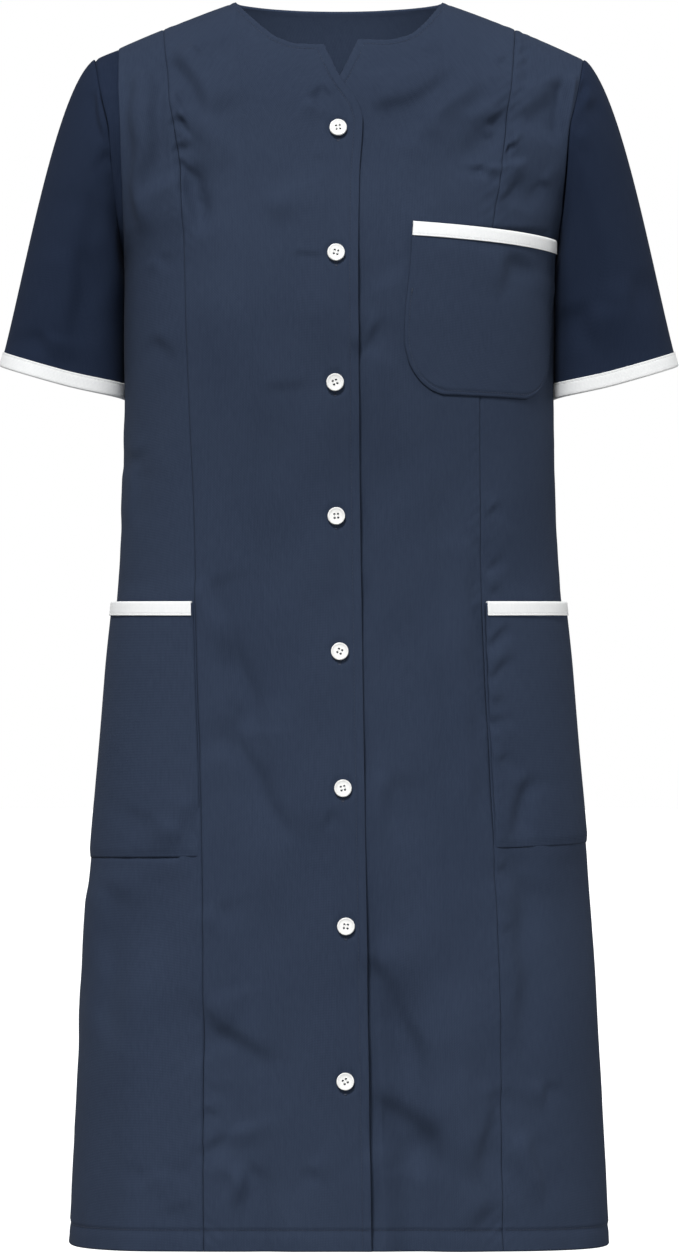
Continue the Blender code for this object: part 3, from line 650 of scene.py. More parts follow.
def creased(face, point):
    """Relief of a face's creases: the cloth swells on one side of each line and dips on the other."""
    total = np.zeros(point.shape[:-1])
    flat = point[..., (0, 2)]
    wander = np.stack((np.sin(flat[..., 1] / WANDER_LONG), np.sin(flat[..., 0] / WANDER_LONG + 1)), -1)
    for row in CREASES[face]:
        crease = dict(zip(CREASE_COLUMNS, row))
        line = smooth_line(np.array(crease["places"]) * MM)
        breadth = crease["breadth"] * MM
        reach = 5 * breadth
        near = np.all((flat > line.min(axis=0) - reach) & (flat < line.max(axis=0) + reach), axis=-1)
        place = flat[near] + soft_step(breadth, 3 * MM, 9 * MM) * WANDER * wander[near]
        away, along = near_line(place, line)
        lengths = lengths_along(line[:, None], 0)[:, 0]
        spot, before, ahead = (
            np.stack([np.interp(along + step, lengths, values) for values in line.T], -1)
            for step in (0, -0.01 * MM, 0.01 * MM)
        )
        run, gap = ahead - before, place - spot
        side = np.sign(run[:, 0] * gap[:, 1] - run[:, 1] * gap[:, 0])
        if (line[-1] - line[0]) @ (LIGHT_AWAY[1], -LIGHT_AWAY[0]) < 0:
            side = -side
        past = side * away / breadth
        fade = min(2 * breadth, 0.35 * lengths[-1])
        ends = soft_step(along, 0, fade) * soft_step(lengths[-1] - along, 0, 1.8 * fade)
        swell = past / (1 + past * past) * np.exp(-(past / 4) ** 2)
        strength = 1 + WITH_LIGHT * (unit(line[-1] - line[0]) @ unit(LIGHT_AWAY)) ** 2
        total[near] += strength * crease["steepness"] * breadth * ends * swell
    return total


def body_point(side, turn, height, lift=0.0):
    """Points of the draped body, moved out by lift."""
    flip = np.array((side, 1, 1))
    point = bare_point(turn, height) * flip
    facing = np.cos(turn)
    depth = np.where(facing >= 0, soft_folds("front", point), soft_folds("back", point))
    depth = depth * soft_step(np.abs(facing), 0.12, 0.4)
    return point + body_normal(turn, height) * flip * (lift + depth)[..., None]


def hem_height(turn):
    return SIDE_HEM + HEM_RISE * np.cos(turn) ** 2


def spaced(stops, counts):
    """Values from stop to stop, with a count of cells between each two."""
    values = [np.array(stops[:1], float)]
    for start, end, count in zip(stops, stops[1:], counts):
        values.append(mix(start, end, np.arange(1, count + 1) / count))
    return np.concatenate(values)


# Rows of cells, closer where the cloth is sewn: shares down to the yoke, heights, shares to the hem
YOKE_SHARES = spaced((0, 0.012, 0.3, 1), (2, 26, 46))
BODICE_HEIGHTS = spaced((YOKE, UNDERARM, BODICE_END), (44, 72))
SKIRT_SHARES = spaced((0, 0.958, 0.997, 1), (162, 18, 2))


def column_top(turn_of, shares, top):
    """Height at which each column of a panel meets the panel's top edge."""
    low = np.full(len(shares), YOKE)
    high = np.zeros(len(shares))
    for _ in range(40):
        middle = (low + high) / 2
        over = middle > top(bare_point(turn_of(shares, middle), middle)[..., 0])
        high = np.where(over, middle, high)
        low = np.where(over, low, middle)
    return low


def panel_points(side, turn_of, shares, top, lift_of=None):
    """Points of a panel's face, in rows from its top edge to the hem."""
    start = column_top(turn_of, shares, top)
    hem = hem_height(turn_of(shares, np.full(len(shares), SIDE_HEM)))
    heights = np.concatenate((
        mix(start, YOKE, YOKE_SHARES[:-1, None]),
        BODICE_HEIGHTS[:-1, None] + 0 * start,
        mix(BODICE_END, hem, SKIRT_SHARES[:, None]),
    ))
    turn = turn_of(shares + 0 * heights, heights)
    lift = lift_of(turn, heights) if lift_of else 0 * turn
    return body_point(side, turn, heights, lift)


def lengths_along(points, axis):
    """Distance of each point from the first one along the cloth."""
    steps = np.linalg.norm(np.diff(points, axis=axis), axis=-1)
    padding = [(0, 0), (0, 0)]
    padding[axis] = (1, 0)
    return np.pad(np.cumsum(steps, axis=axis), padding)


def normals_of(points, middle, closed=False):
    """Outward directions of a grid of points, away from a middle."""
    grid = points
    if closed:
        grid = np.concatenate((points[:, -2:-1], points, points[:, 1:2]), axis=1)
    normal = np.cross(np.gradient(grid, axis=1), np.gradient(grid, axis=0))
    if closed:
        normal = normal[:, 1:-1]
    normal = unit(normal)
    outward = np.sum(normal * (points - middle), axis=-1).mean()
    return normal * np.sign(outward)


def uneven(place, spacing, seed):
    """A smooth wave of uneven length and height, from -1 to 1."""
    rng = np.random.default_rng(seed)
    heights = rng.uniform(-1, 1, 997)
    shift = 0.35 * np.sin(place / spacing * 0.83 + seed)
    where = place / spacing + shift
    step = np.floor(where).astype(int)
    share = where - step
    share = share * share * (3 - 2 * share)
    return mix(heights[step % 997], heights[(step + 1) % 997], share)


def slack(point, seed):
    """Slow unevenness of hanging cloth, longer down the cloth than across it."""
    rng = np.random.default_rng(seed)
    total = np.zeros(point.shape[:-1])
    for _ in range(7):
        length = rng.uniform(0.05, 0.13)
        lean = rng.normal(0, 0.7)
        phase = rng.uniform(0, 2 * math.pi)
        across = point[..., 0] * math.cos(lean) + point[..., 2] * math.sin(lean)
        bend = 0.5 * np.sin(point[..., 2] / (1.7 * length) + 2 * phase)
        total += np.sin(2 * math.pi * across / length + phase + bend) * length / 0.09
    return SLACK * total / 3


def hump(distance, middle, breadth):
    away = (distance - middle) / breadth
    return np.exp(-away * away)


def pulls(name, place, distance, seed):
    """Small pulls at places along an edge and distances from it."""
    depth, spacing, away, reach = np.array(PULLS[name]) * MM
    return depth * uneven(place, spacing, seed) * hump(distance, away, reach)


def rolled_edge(distance):
    """How far the cloth rolls back just inside an edge."""
    share = 1 - np.clip(distance / EDGE_ROUND, 0, 1)
    return -0.7 * EDGE_ROUND * (1 - np.sqrt(1 - 0.98 * share * share))


def stitched_band(distance, along, at, seed):
    """Relief of an edge that is turned under and stitched down at a distance."""
    inside = soft_step(at - distance, -0.4 * MM, 1.6 * MM)
    pull = uneven(along, 5.5 * MM, seed) * 0.6 + uneven(along, 13 * MM, seed + 1) * 0.4
    near = hump(distance, at * 0.75, at * 0.55)
    relief = rolled_edge(distance) + BAND_RISE * inside
    relief -= STITCH_GROOVE * hump(distance, at, 0.75 * MM)
    return relief + BAND_PULL * pull * near


def seam_line(distance):
    """Relief of the cloth where it turns into a plain seam."""
    return -SEAM_DEEP * hump(distance, 0, SEAM_BROAD)


def slanted_puckers(distance, height, depth, slant, seed):
    """Puckers beside a seam, fading away from it and slanting as they go."""
    place = -height + slant * distance
    turn = place / PUCKER_SPACING + 0.35 * uneven(place, 2.3 * PUCKER_SPACING, seed)
    wave = np.sin(2 * math.pi * turn) * (0.6 + 0.4 * uneven(place, 1.6 * PUCKER_SPACING, seed + 1))
    reach = np.exp(-(distance / PUCKER_REACH) ** 1.6) * (1 - 0.8 * hump(distance, 0, 2 * MM))
    return PUCKER_STRENGTH * depth * wave * reach


class Cut:
    """A cut piece: its grid of points, and how far each one lies from the piece's edges."""

    def __init__(self, points, middle, closed=False):
        self.base = points
        self.closed = closed
        self.from_inner = lengths_along(points, 1)
        self.from_outer = self.from_inner[:, -1:] - self.from_inner
        self.from_top = lengths_along(points, 0)
        self.from_hem = self.from_top[-1:] - self.from_top
        self.normals = normals_of(points, middle, closed)
        self.relief = np.zeros(points.shape[:2])
        self.turned = np.zeros(points.shape[:2])

    @property
    def points(self):
        return self.base + self.normals * self.relief[..., None]

    def crease(self, face, seed):
        """Adds the creases and broad folds of the body's front or back."""
        self.add(creased(face, self.base))
        sewn = np.minimum(np.minimum(self.from_inner, self.from_outer), self.from_top)
        loose = FOLD_STRENGTH * soft_folds(face, self.base)
        loose += slack(self.base, seed) * soft_step(sewn, 0, 40 * MM)
        if face == "front":
            loose *= soft_step(-inside_pockets(self.base), 0, POCKET_CALM)
        self.add(loose)

    @property
    def height(self):
        return self.base[..., 2]

    def add(self, relief):
        self.relief = self.relief + relief

    def tuck(self, rows, columns, across=None):
        """Turns an edge in at a seam, and brings it to the seam's own plane."""
        self.relief[rows, columns] -= SEAM_TUCK
        if across is not None:
            self.base[rows, columns, 1] = across

    def turn_under(self, distance, reach):
        """Marks the cloth as turned under where an edge is nearer than reach."""
        self.turned = np.maximum(self.turned, (distance < reach).astype(float))

    def flatten_mouth(self):
        """Takes a pocket's relief away where its binding lies."""
        self.relief = self.relief * soft_step(self.from_top, BINDING_HEIGHT, BINDING_HEIGHT + 8 * MM)


def zero_line(cut, field, along):
    """The line on a cut where a field passes zero, as points and outward directions in order."""
    columns = [cut.points, cut.normals, along[..., None]]
    data = np.concatenate(columns, axis=-1)
    found = []
    for axis in (0, 1):
        count = field.shape[axis]
        f0, f1 = field.take(range(count - 1), axis), field.take(range(1, count), axis)
        d0, d1 = data.take(range(count - 1), axis), data.take(range(1, count), axis)
        crossed = (f0 < 0) != (f1 < 0)
        share = (f0[crossed] / (f0[crossed] - f1[crossed]))[:, None]
        found.append(mix(d0[crossed], d1[crossed], share))
    found = np.concatenate(found)
    return found[np.argsort(found[:, -1])]


# Materials

def linear(value):
    """sRGB hex colour as linear RGBA."""
    parts = [int(value[k:k + 2], 16) / 255 for k in (1, 3, 5)]
    parts = [p / 12.92 if p <= 0.04045 else ((p + 0.055) / 1.055) ** 2.4 for p in parts]
    return (*parts, 1)


def add_node(tree, kind, output, inputs, **settings):
    """One output of a new node, whose inputs are values or other nodes' outputs."""
    made = tree.nodes.new("ShaderNode" + kind)
    for name, value in settings.items():
        setattr(made, name, value)
    for key, value in inputs.items():
        if isinstance(value, bpy.types.NodeSocket):
            tree.links.new(value, made.inputs[key])
        else:
            made.inputs[key].default_value = value
    return made.outputs[output]


def new_finish(name, values):
    """A material with values on its shader's own sockets."""
    finish = bpy.data.materials.new(name)
    finish.use_nodes = True
    shader = finish.node_tree.nodes["Principled BSDF"]
    for key, value in values.items():
        shader.inputs[key].default_value = value
    return finish, finish.node_tree, shader


def woven_finish(name, dark, light, thread, slub, bump, roughness, specular, sheen):
    """A plain woven cloth: threads both ways, slubs in the yarn and a slow drift of the dye."""
    finish, tree, shader = new_finish(name, {
        "Roughness": roughness, "Specular IOR Level": specular,
        "Sheen Weight": sheen, "Sheen Roughness": 0.4,
    })
    place = add_node(tree, "UVMap", "UV", {}, uv_map="cloth")
    spot = add_node(tree, "TexCoord", "Object", {})
    # a wave texture has 20 bands in one turn of its scale
    bands = 2 * math.pi / 20 / (thread * MM)
    wave = {"Vector": place, "Scale": bands, "Distortion": 0.6, "Detail": 1.0}
    warp, weft = (add_node(tree, "TexWave", "Fac", wave, bands_direction=way) for way in "XY")
    weave = add_node(tree, "Math", 0, {0: warp, 1: weft}, operation="MULTIPLY")
    stretch = (1 / (slub * MM), 0.25 / (slub * MM), 1)
    drawn = add_node(tree, "Mapping", "Vector", {"Vector": place, "Scale": stretch})
    yarn = add_node(tree, "TexNoise", "Fac", {"Vector": drawn, "Scale": 1.0, "Detail": 3.0})
    drift = add_node(tree, "TexNoise", "Fac", {"Vector": spot, "Scale": 9.0, "Detail": 2.0})
    grain = add_node(tree, "Math", 0, {0: weave, 1: yarn}, operation="ADD")
    tone = add_node(tree, "Math", 0, {0: drift, 1: 0.9, 2: grain}, operation="MULTIPLY_ADD")
    tones = {"Value": tone, "From Min": 0.6, "From Max": 1.7}
    share = add_node(tree, "MapRange", "Result", tones, clamp=True)
    colours = {0: share, 6: linear(dark), 7: linear(light)}
    colour = add_node(tree, "Mix", 2, colours, data_type="RGBA")
    relief = {"Strength": bump, "Distance": 0.25 * MM, "Height": grain}
    tree.links.new(colour, shader.inputs["Base Color"])
    tree.links.new(add_node(tree, "Bump", "Normal", relief), shader.inputs["Normal"])
    return finish


def thread_finish(name, colour, roughness, sheen):
    values = {"Base Color": linear(colour), "Roughness": roughness, "Sheen Weight": sheen}
    return new_finish(name, values)[0]


def resin_finish():
    """Cast polyester resin with a faint pearl cloud, polished, so that the rim takes a highlight."""
    finish, tree, shader = new_finish(
        "white_polyester_resin",
        {"Roughness": 0.22, "IOR": 1.56, "Coat Weight": 0.25, "Coat Roughness": 0.1},
    )
    spot = add_node(tree, "TexCoord", "Object", {})
    cloud = add_node(tree, "TexNoise", "Fac", {"Vector": spot, "Scale": 160.0, "Detail": 2.0})
    colours = {0: cloud, 6: linear("#E4E5E3"), 7: linear("#F6F6F4")}
    colour = add_node(tree, "Mix", 2, colours, data_type="RGBA")
    tree.links.new(colour, shader.inputs["Base Color"])
    return finish


# Woven cloths. Their threads are drawn coarser than the real ones, of 0.35 mm, so that they show
CLOTH_COLUMNS = ("name", "dark", "light", "thread", "slub", "bump", "roughness", "specular", "sheen")
CLOTHS = (
    # polyester and cotton, dyed navy: matt, with the soft sheen of its cotton fibres
    ("navy_polycotton", "#2A3345", "#333D4F", 1.3, 2.6, 0.35, 0.85, 0.04, 0.01),
    # the same cloth on the sleeves, painted a little darker as painted shade for the shade that the
    # sleeves lie in
    ("navy_polycotton_sleeves_painted_shade", "#1C2537", "#232C3E", 1.3, 2.6, 0.35, 0.86, 0.04, 0.01),
    # white cotton bias binding, matt and a little fluffy
    ("white_bias_binding", "#E6E8E9", "#F3F4F4", 1.1, 2.0, 0.3, 0.78, 0.3, 0.1),
)
navy_cloth, shaded_sleeve_cloth, white_tape = (
    woven_finish(**dict(zip(CLOTH_COLUMNS, row))) for row in CLOTHS
)
# Spun polyester threads, the navy one in the cloth's own colour
navy_thread = thread_finish("navy_polyester_thread", "#2A3345", 0.7, 0.05)
white_thread = thread_finish("white_polyester_thread", "#E9EAE9", 0.5, 0.2)
resin = resin_finish()


# Making pieces

def mesh_from(bm, name):
    """A mesh of what bm holds, and bm is freed."""
    mesh = bpy.data.meshes.new(name)
    bm.to_mesh(mesh)
    bm.free()
    return mesh


def put(name, data):
    """A new object in the scene."""
    made = bpy.data.objects.new(name, data)
    bpy.context.collection.objects.link(made)
    return made


def finish_piece(name, mesh, finish):
    """Puts a mesh in the scene as a piece of the dress."""
    mesh.materials.append(finish)
    mesh.shade_smooth()
    piece = put(name, mesh)
    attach(piece, "root")
    return piece


def sheet_mesh(name, points, normals, across, down, closed=False):
    """A grid of cells moved to its places, with the cloth's own lengths as its UV map."""
    rows, columns = points.shape[:2]
    bm = bmesh.new()
    bm.loops.layers.uv.new("cloth")
    bmesh.ops.create_grid(bm, x_segments=columns - 1, y_segments=rows - 1, size=1)
    for vert, place in zip(bm.verts, points.reshape(-1, 3)):
        vert.co = place
    middle = bm.faces[:][(rows // 2) * (columns - 1) + columns // 2]
    middle.normal_update()
    wanted = Vector(normals[rows // 2, columns // 2])
    if middle.normal.dot(wanted) < 0:
        bmesh.ops.reverse_faces(bm, faces=bm.faces)
    mesh = mesh_from(bm, name)
    corners = np.empty(len(mesh.loops), int)
    mesh.loops.foreach_get("vertex_index", corners)
    lengths = np.stack((across, down), -1).reshape(-1, 2)
    mesh.uv_layers["cloth"].data.foreach_set("uv", lengths[corners].ravel())
    if closed:
        bm = bmesh.new()
        bm.from_mesh(mesh)
        bmesh.ops.remove_doubles(bm, verts=bm.verts, dist=1e-6)
        bm.to_mesh(mesh)
        bm.free()
    return mesh


def thicken(piece, thickness, offset):
    wall = piece.modifiers.new("wall", "SOLIDIFY")
    wall.thickness = thickness
    wall.offset = offset
    return wall


def cloth_piece(node, cut, finish):
    """The shell of a cut piece, in place of its solid. It is thickest where it is turned under."""
    name = node + "_cloth"
    mesh = sheet_mesh(name, cut.points, cut.normals, cut.from_inner, cut.from_top, cut.closed)
    piece = finish_piece(name, mesh, finish)
    wall = thicken(piece, DOUBLED, -1)
    if not cut.closed:
        group = piece.vertex_groups.new(name="turned")
        for weight in (0.0, 1.0):
            chosen = np.flatnonzero(cut.turned.ravel() == weight)
            group.add(chosen.tolist(), weight, "REPLACE")
        wall.vertex_group = "turned"
        wall.thickness_vertex_group = SINGLE_SHARE
    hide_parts(node)
    return piece


def add_stitches(bm, line, first=0.0, last=1e9, step=STITCH_STEP, long=STITCH_LONG, thick=STITCH_THICK):
    """Small sewn-in beads of thread along a line of places, outward directions and lengths."""
    along = line[:, 6]

    def read(length, columns):
        return Vector([np.interp(length, along, line[:, k]) for k in columns])

    for start in np.arange(max(first, along[0]), min(last, along[-1]) - long, step):
        here, there = (read(length, range(3)) for length in (start, start + long))
        up = read(start + long / 2, range(3, 6))
        run = there - here
        if run.length < 0.3 * long or run.length > 3 * long:
            continue
        side = up.cross(run).normalized()
        up = run.cross(side).normalized()
        turn = Matrix((run.normalized(), side, up)).transposed().to_4x4()
        size = Matrix.Diagonal((run.length, thick, thick, 1))
        middle = Matrix.Translation((here + there) / 2 + up * thick * 0.25)
        bmesh.ops.create_icosphere(bm, subdivisions=1, radius=0.5, matrix=middle @ turn @ size)


def finish_panel(node, cut, lines):
    """A panel's cloth with its lines of stitches."""
    piece = cloth_piece(node, cut, navy_cloth)
    name = node + "_stitching"
    bm = bmesh.new()
    for line, first in lines:
        add_stitches(bm, line, first)
    sewing = finish_piece(name, mesh_from(bm, name), navy_thread)


# Panels of the body

def princess(side, inset):
    return lambda height: seam("princess_" + SIDE_WORDS[side], height) + inset


def front_top(neck):
    """Top edge of a front: the notch, the neck edge, then the shoulder seam."""
    corner = neck[0][0] * MM
    notch = (*NOTCH, neck[0])

    def top(across):
        sewn = np.where(across > corner, across_curve(neck, across), across_curve(notch, across))
        return np.where(across > NECK_HALF, shoulder_height(across), sewn)

    return top


def over_edge(height):
    """Where the over front's edge lies, as the distance to the wearer's left."""
    places, heights = np.array((*NOTCH, NECK_RIGHT[0])).T
    notch = curve_at(heights, -places, height / MM) * MM
    return np.where(height > heights[0] * MM, notch, seam("placket", height))


def underlap_lift(turn, height):
    """The under front sinks behind the over front, most where that front's edge curls up."""
    past = bare_point(turn, height)[..., 0] - over_edge(height)
    dip = UNDERLAP_DIP * level(CURLS, CURL_COLUMNS, "lift", height) * soft_step(-height, 0.12, 0.2)
    drop = UNDERLAP_DROP * (1 - soft_step(past, 1 * MM, UNDERLAP_LEVEL))
    return -drop - dip * (1 - soft_step(past, 1 * MM, UNDERLAP_LIP))


def share_through(inner, outer, point):
    across, height = np.array(point) * MM
    return float((across - inner(height)) / (outer(height) - inner(height)))


def index_of(values, value):
    return int(np.argmin(np.abs(values - value)))


def sew_princess(cut, distance, side, outside, seed):
    """Seam line and puckers beside a princess seam, on its inner or its outer side.

    The right side front stays almost smooth."""
    depth = level(PUCKERS, PUCKER_COLUMNS, SIDE_WORDS[side], cut.height)
    if side < 0 and outside:
        depth = depth * SMOOTH_SIDE
    slant = PUCKER_SLANT if outside else -PUCKER_SLANT
    cut.add(seam_line(distance))
    cut.add(slanted_puckers(distance, cut.height, depth, slant, seed))


def sew_shoulder(cut):
    """Seam line of the shoulder, which is the top edge beyond the neck."""
    cut.add(seam_line(np.where(np.abs(cut.base[..., 0]) > NECK_HALF, cut.from_top, 1)))


def sew_side(cut, distance, strength, seed):
    """Seam line and small pulls beside a side seam and its armhole."""
    cut.add(seam_line(distance) * strength)
    depth, spacing, _, reach = np.array(PULLS["side seam"]) * MM
    cut.add(depth * uneven(cut.height, spacing, seed) * np.exp(-distance / reach))


def sew_hem(cut, seed):
    """Turned hem, whose groove of stitches is steep above them and slow below."""
    breadth = np.where(cut.from_hem > HEM_STITCH, 0.9, 5) * MM
    cut.add(-HEM_GROOVE * hump(cut.from_hem, HEM_STITCH, breadth))
    cut.add(rolled_edge(cut.from_hem))
    cut.add(pulls("hem", cut.from_inner, cut.from_hem, seed))
    cut.turn_under(cut.from_hem, HEM_STITCH + 1.5 * MM)


def hem_line(cut):
    return zero_line(cut, cut.from_hem - HEM_STITCH, cut.from_inner)


def breast_edges(down):
    """The breast pocket's inner and outer edges, a share of the way down."""
    downs = column(BREAST, BREAST_COLUMNS, "down")
    edges = (column(BREAST, BREAST_COLUMNS, name) for name in ("inner", "outer"))
    return [curve_at(downs, edge, down) * MM for edge in edges]


def inside_pockets(point):
    """How far inside the pockets' outlines points of the front lie, or outside them if negative."""
    across, height = point[..., 0], point[..., 2]
    floor = np.where(across > 0, HIP_FLOORS[1][1], HIP_FLOORS[-1][1]) * MM
    hip = np.minimum(HIP_TOP - height, height - floor)
    hip = np.minimum(hip, np.abs(across) - seam("princess_left", height))
    high, low = BREAST_TOP[0] * MM, BREAST_FLOOR[0] * MM
    inner, outer = breast_edges(np.clip((high - height) / (high - low), 0, 1))
    ways = (across - inner, outer - across, high - height, height - low)
    return np.maximum(hip, np.minimum.reduce(ways))


def under_pockets(cut):
    """Keeps the panel's fine relief from rising into the pockets that lie on it."""
    inside = soft_step(inside_pockets(cut.base), 1 * MM, 7 * MM)
    cut.relief = mix(cut.relief, np.minimum(cut.relief, 0) * 0.5 - POCKET_HOLLOW, inside)


def build_front(side, neck_line, shares, corner, neck, turn_of, lift_of, flat, area, seed):
    """A front: its free edge, the princess seam, the shoulder seam and the hem.

    Corner and neck are the shares at which the neck edge starts and ends."""
    cut = Cut(panel_points(side, turn_of, shares, front_top(neck_line), lift_of), BEHIND)
    first, last = index_of(shares, corner), index_of(shares, neck)
    # The free edge goes from the high point of the neck round to the placket and the hem
    edge, along = near_line(cut.base, np.concatenate((cut.base[0, last::-1], cut.base[1:, 0])))
    run = lengths_along(cut.base[:1, first:last + 1], 1)[0, -1]
    at = mix(NECK_STITCH, PLACKET_STITCH, soft_step(along, run - 8 * MM, run + 8 * MM))
    cut.add(stitched_band(edge, along, at, seed))
    if side < 0:
        curl = level(CURLS, CURL_COLUMNS, "lift", cut.height)
        cut.add(curl * (1 - soft_step(edge, 0, CURL_REACH)) ** 2 * soft_step(-cut.height, 0.09, 0.12))
    cut.crease("front", seed + 9)
    sew_princess(cut, cut.from_outer, side, False, seed + 3)
    sew_shoulder(cut)
    sew_hem(cut, seed + 5)
    cut.turn_under(edge, at + 1 * MM)
    for across, height, _ in BUTTONS:
        away = np.hypot(cut.base[..., 0] - across * MM, cut.height - height * MM)
        for depth, middle, breadth in np.array(BUTTON_DENTS) * MM:
            cut.add(-depth * hump(away, middle, breadth))
    under_pockets(cut)
    cut.tuck(slice(None), -1)
    cut.tuck(0, np.flatnonzero(np.abs(cut.base[0, :-1, 0]) > NECK_HALF), 0)
    sewn = ((zero_line(cut, edge - at, along), 6 * MM), (hem_line(cut), 0))
    finish_panel("front_" + SIDE_WORDS[side], cut, sewn)
    return cut


def placket_inner(height):
    return -seam("placket", height)


def build_front_right():
    """The over front, which ends at the placket edge past the middle line."""
    outer = princess(-1, SEAM_OVERLAP)
    corner, neck = (share_through(placket_inner, outer, NECK_RIGHT[k]) for k in (0, -1))
    shares = spaced((0, 0.007, 0.06, corner, neck, 0.92, 0.9985, 1), (2, 8, 11, 32, 22, 12, 1))

    def turn_of(share, height):
        return turn_at(mix(placket_inner(height), outer(height), share), height)

    size = (0.185, 1.03), 0.147
    return build_front(-1, NECK_RIGHT, shares, corner, neck, turn_of, None, *size, 11)


def build_front_left():
    """The under front, which goes on behind the over front: closely to share 1, then to share 2."""
    def close_to(height):
        return over_edge(height) + UNDERLAP_CLOSE

    outer = princess(1, SEAM_OVERLAP)
    corner, neck = (1 + share_through(close_to, outer, NECK_LEFT[k]) for k in (0, -1))
    shares = spaced((0, 0.5, 1, corner, neck, 1.9, 1.998, 2), (6, 18, 6, 32, 20, 12, 1))

    def turn_of(share, height):
        hidden = mix(placket_inner(height), close_to(height), share)
        shown = mix(close_to(height), outer(height), share - 1)
        return turn_at(np.where(share <= 1, hidden, shown), height)

    size = (0.195, 1.03), 0.155
    build_front(1, NECK_LEFT, shares, corner, neck, turn_of, underlap_lift, *size, 23)


def build_side_front(side, seed):
    """A side front, from the princess seam to the armhole and the side seam.

    The right one ends sooner, where the right sleeve's head lies over on the front."""
    seam_across = princess(side, -SEAM_OVERLAP)
    edge_name = "head_right" if side < 0 else "armhole"

    def turn_of(share, height):
        inner = turn_at(seam_across(height), height)
        armhole = turn_at(seam(edge_name, height), height)
        outer = np.where(height <= UNDERARM, math.pi / 2, armhole)
        return mix(inner, outer, share)

    shares = spaced((0, 0.003, 0.1, 0.88, 0.997, 1), (1, 11, 44, 12, 1))
    cut = Cut(panel_points(side, turn_of, shares, shoulder_height), BEHIND)
    cut.crease("front", seed + 9)
    cut.relief = cut.relief * soft_step(cut.from_outer, 0, 6 * MM)
    sew_princess(cut, cut.from_inner, side, True, seed)
    sew_side(cut, cut.from_outer, 0.4 if side < 0 else 0.8, seed + 2)
    cut.add(seam_line(cut.from_top))
    sew_hem(cut, seed + 4)
    under_pockets(cut)
    cut.tuck(slice(None), (0, -1))
    cut.tuck(0, slice(1, -1), 0)
    cut.base[cut.height[:, -1] < UNDERARM, -1, 1] = 0
    finish_panel("side_front_" + SIDE_WORDS[side], cut, ((hem_line(cut), 0),))


def back_top(across):
    away = np.minimum(np.abs(across) / NECK_HALF, 1)
    return shoulder_height(across) - BACK_NECK_DROP * (1 - away * away)


def build_back():
    """The back, in one piece from side seam to side seam. The neck takes the middle third."""
    neck_share = 1 / 3
    neck_turn = turn_at(NECK_HALF, 0.0)

    def turn_of(share, height):
        armhole = turn_at(seam("armhole", height), height)
        edge = np.where(height <= UNDERARM, math.pi / 2 - 1e-6, armhole)
        mid = mix(neck_turn, edge * neck_share, soft_step(-height, 0, 0.2))
        beyond = (np.abs(share) - neck_share) / (1 - neck_share)
        side_turn = np.copysign(mix(mid, edge, beyond), share)
        return math.pi - np.where(np.abs(share) <= neck_share, mid * share / neck_share, side_turn)

    stops = (-1, -0.999, -0.94, -neck_share, neck_share, 0.94, 0.999, 1)
    shares = spaced(stops, (1, 6, 34, 42, 34, 6, 1))
    cut = Cut(panel_points(1, turn_of, shares, back_top), BEFORE)
    cut.crease("back", 33)
    cut.relief = cut.relief * soft_step(np.minimum(cut.from_inner, cut.from_outer), 0, 8 * MM)
    first, last = (index_of(shares, share) for share in (-neck_share, neck_share))
    edge, along = near_line(cut.base, cut.base[0, first:last + 1])
    cut.add(stitched_band(edge, along, NECK_STITCH, 37))
    sew_shoulder(cut)
    sew_side(cut, cut.from_inner, 0.8, 41)
    sew_side(cut, cut.from_outer, 0.8, 43)
    sew_hem(cut, 47)
    cut.turn_under(edge, NECK_STITCH + 1 * MM)
    cut.tuck(slice(None), (0, -1))
    cut.tuck(0, 1 + np.flatnonzero(np.abs(cut.base[0, 1:-1, 0]) > NECK_HALF), 0)
    for edge_column in (0, -1):
        cut.base[cut.height[:, 0] < UNDERARM, edge_column, 1] = 0
    sewn = ((zero_line(cut, edge - NECK_STITCH, along), 0), (hem_line(cut), 0))
    finish_panel("back", cut, sewn)


# Sleeves and their bindings

def armhole_point(around):
    """Points of the armhole's edge: around 0 is the shoulder tip, and it goes over the front."""
    middle = (TIP + UNDERARM) / 2
    height = middle + (TIP - UNDERARM) / 2 * np.cos(around)
    turn = turn_at(seam("armhole", height), height)
    point = bare_point(np.where(np.sin(around) >= 0, turn, math.pi - turn), height)
    point[..., 0] += ARMHOLE_GAP
    point[..., 1] = np.where(np.abs(np.sin(around)) < 1e-6, 0, point[..., 1])
    return point


def cuff_point(around):
    out = np.array((math.cos(CUFF_TILT), 0, math.sin(CUFF_TILT)))
    back = np.array((0, 1, CUFF_RISE))
    across = CUFF_HALF_WIDTH * np.cos(around)[..., None] * out
    return CUFF_MIDDLE + across - CUFF_HALF_DEPTH * np.sin(around)[..., None] * back


def sleeve_run(around):
    """Ends and end slopes of the lines that run down a sleeve at places around it."""
    start, end = armhole_point(around), cuff_point(around)
    length = np.linalg.norm(end - start, axis=-1)[..., None]
    under = ((1 - np.cos(around)) / 2)[..., None]
    setting = mix(unit(SLEEVE_TOP_START), unit(SLEEVE_LOW_START), under)
    pull = mix(SLEEVE_TOP_PULL, SLEEVE_LOW_PULL, under)
    lean = CUFF_TILT * (1 - under)
    hang = np.concatenate((np.sin(lean), 0 * lean, -np.cos(lean)), -1)
    return start, end, setting * (length * pull), hang * (length * SLEEVE_END_PULL)


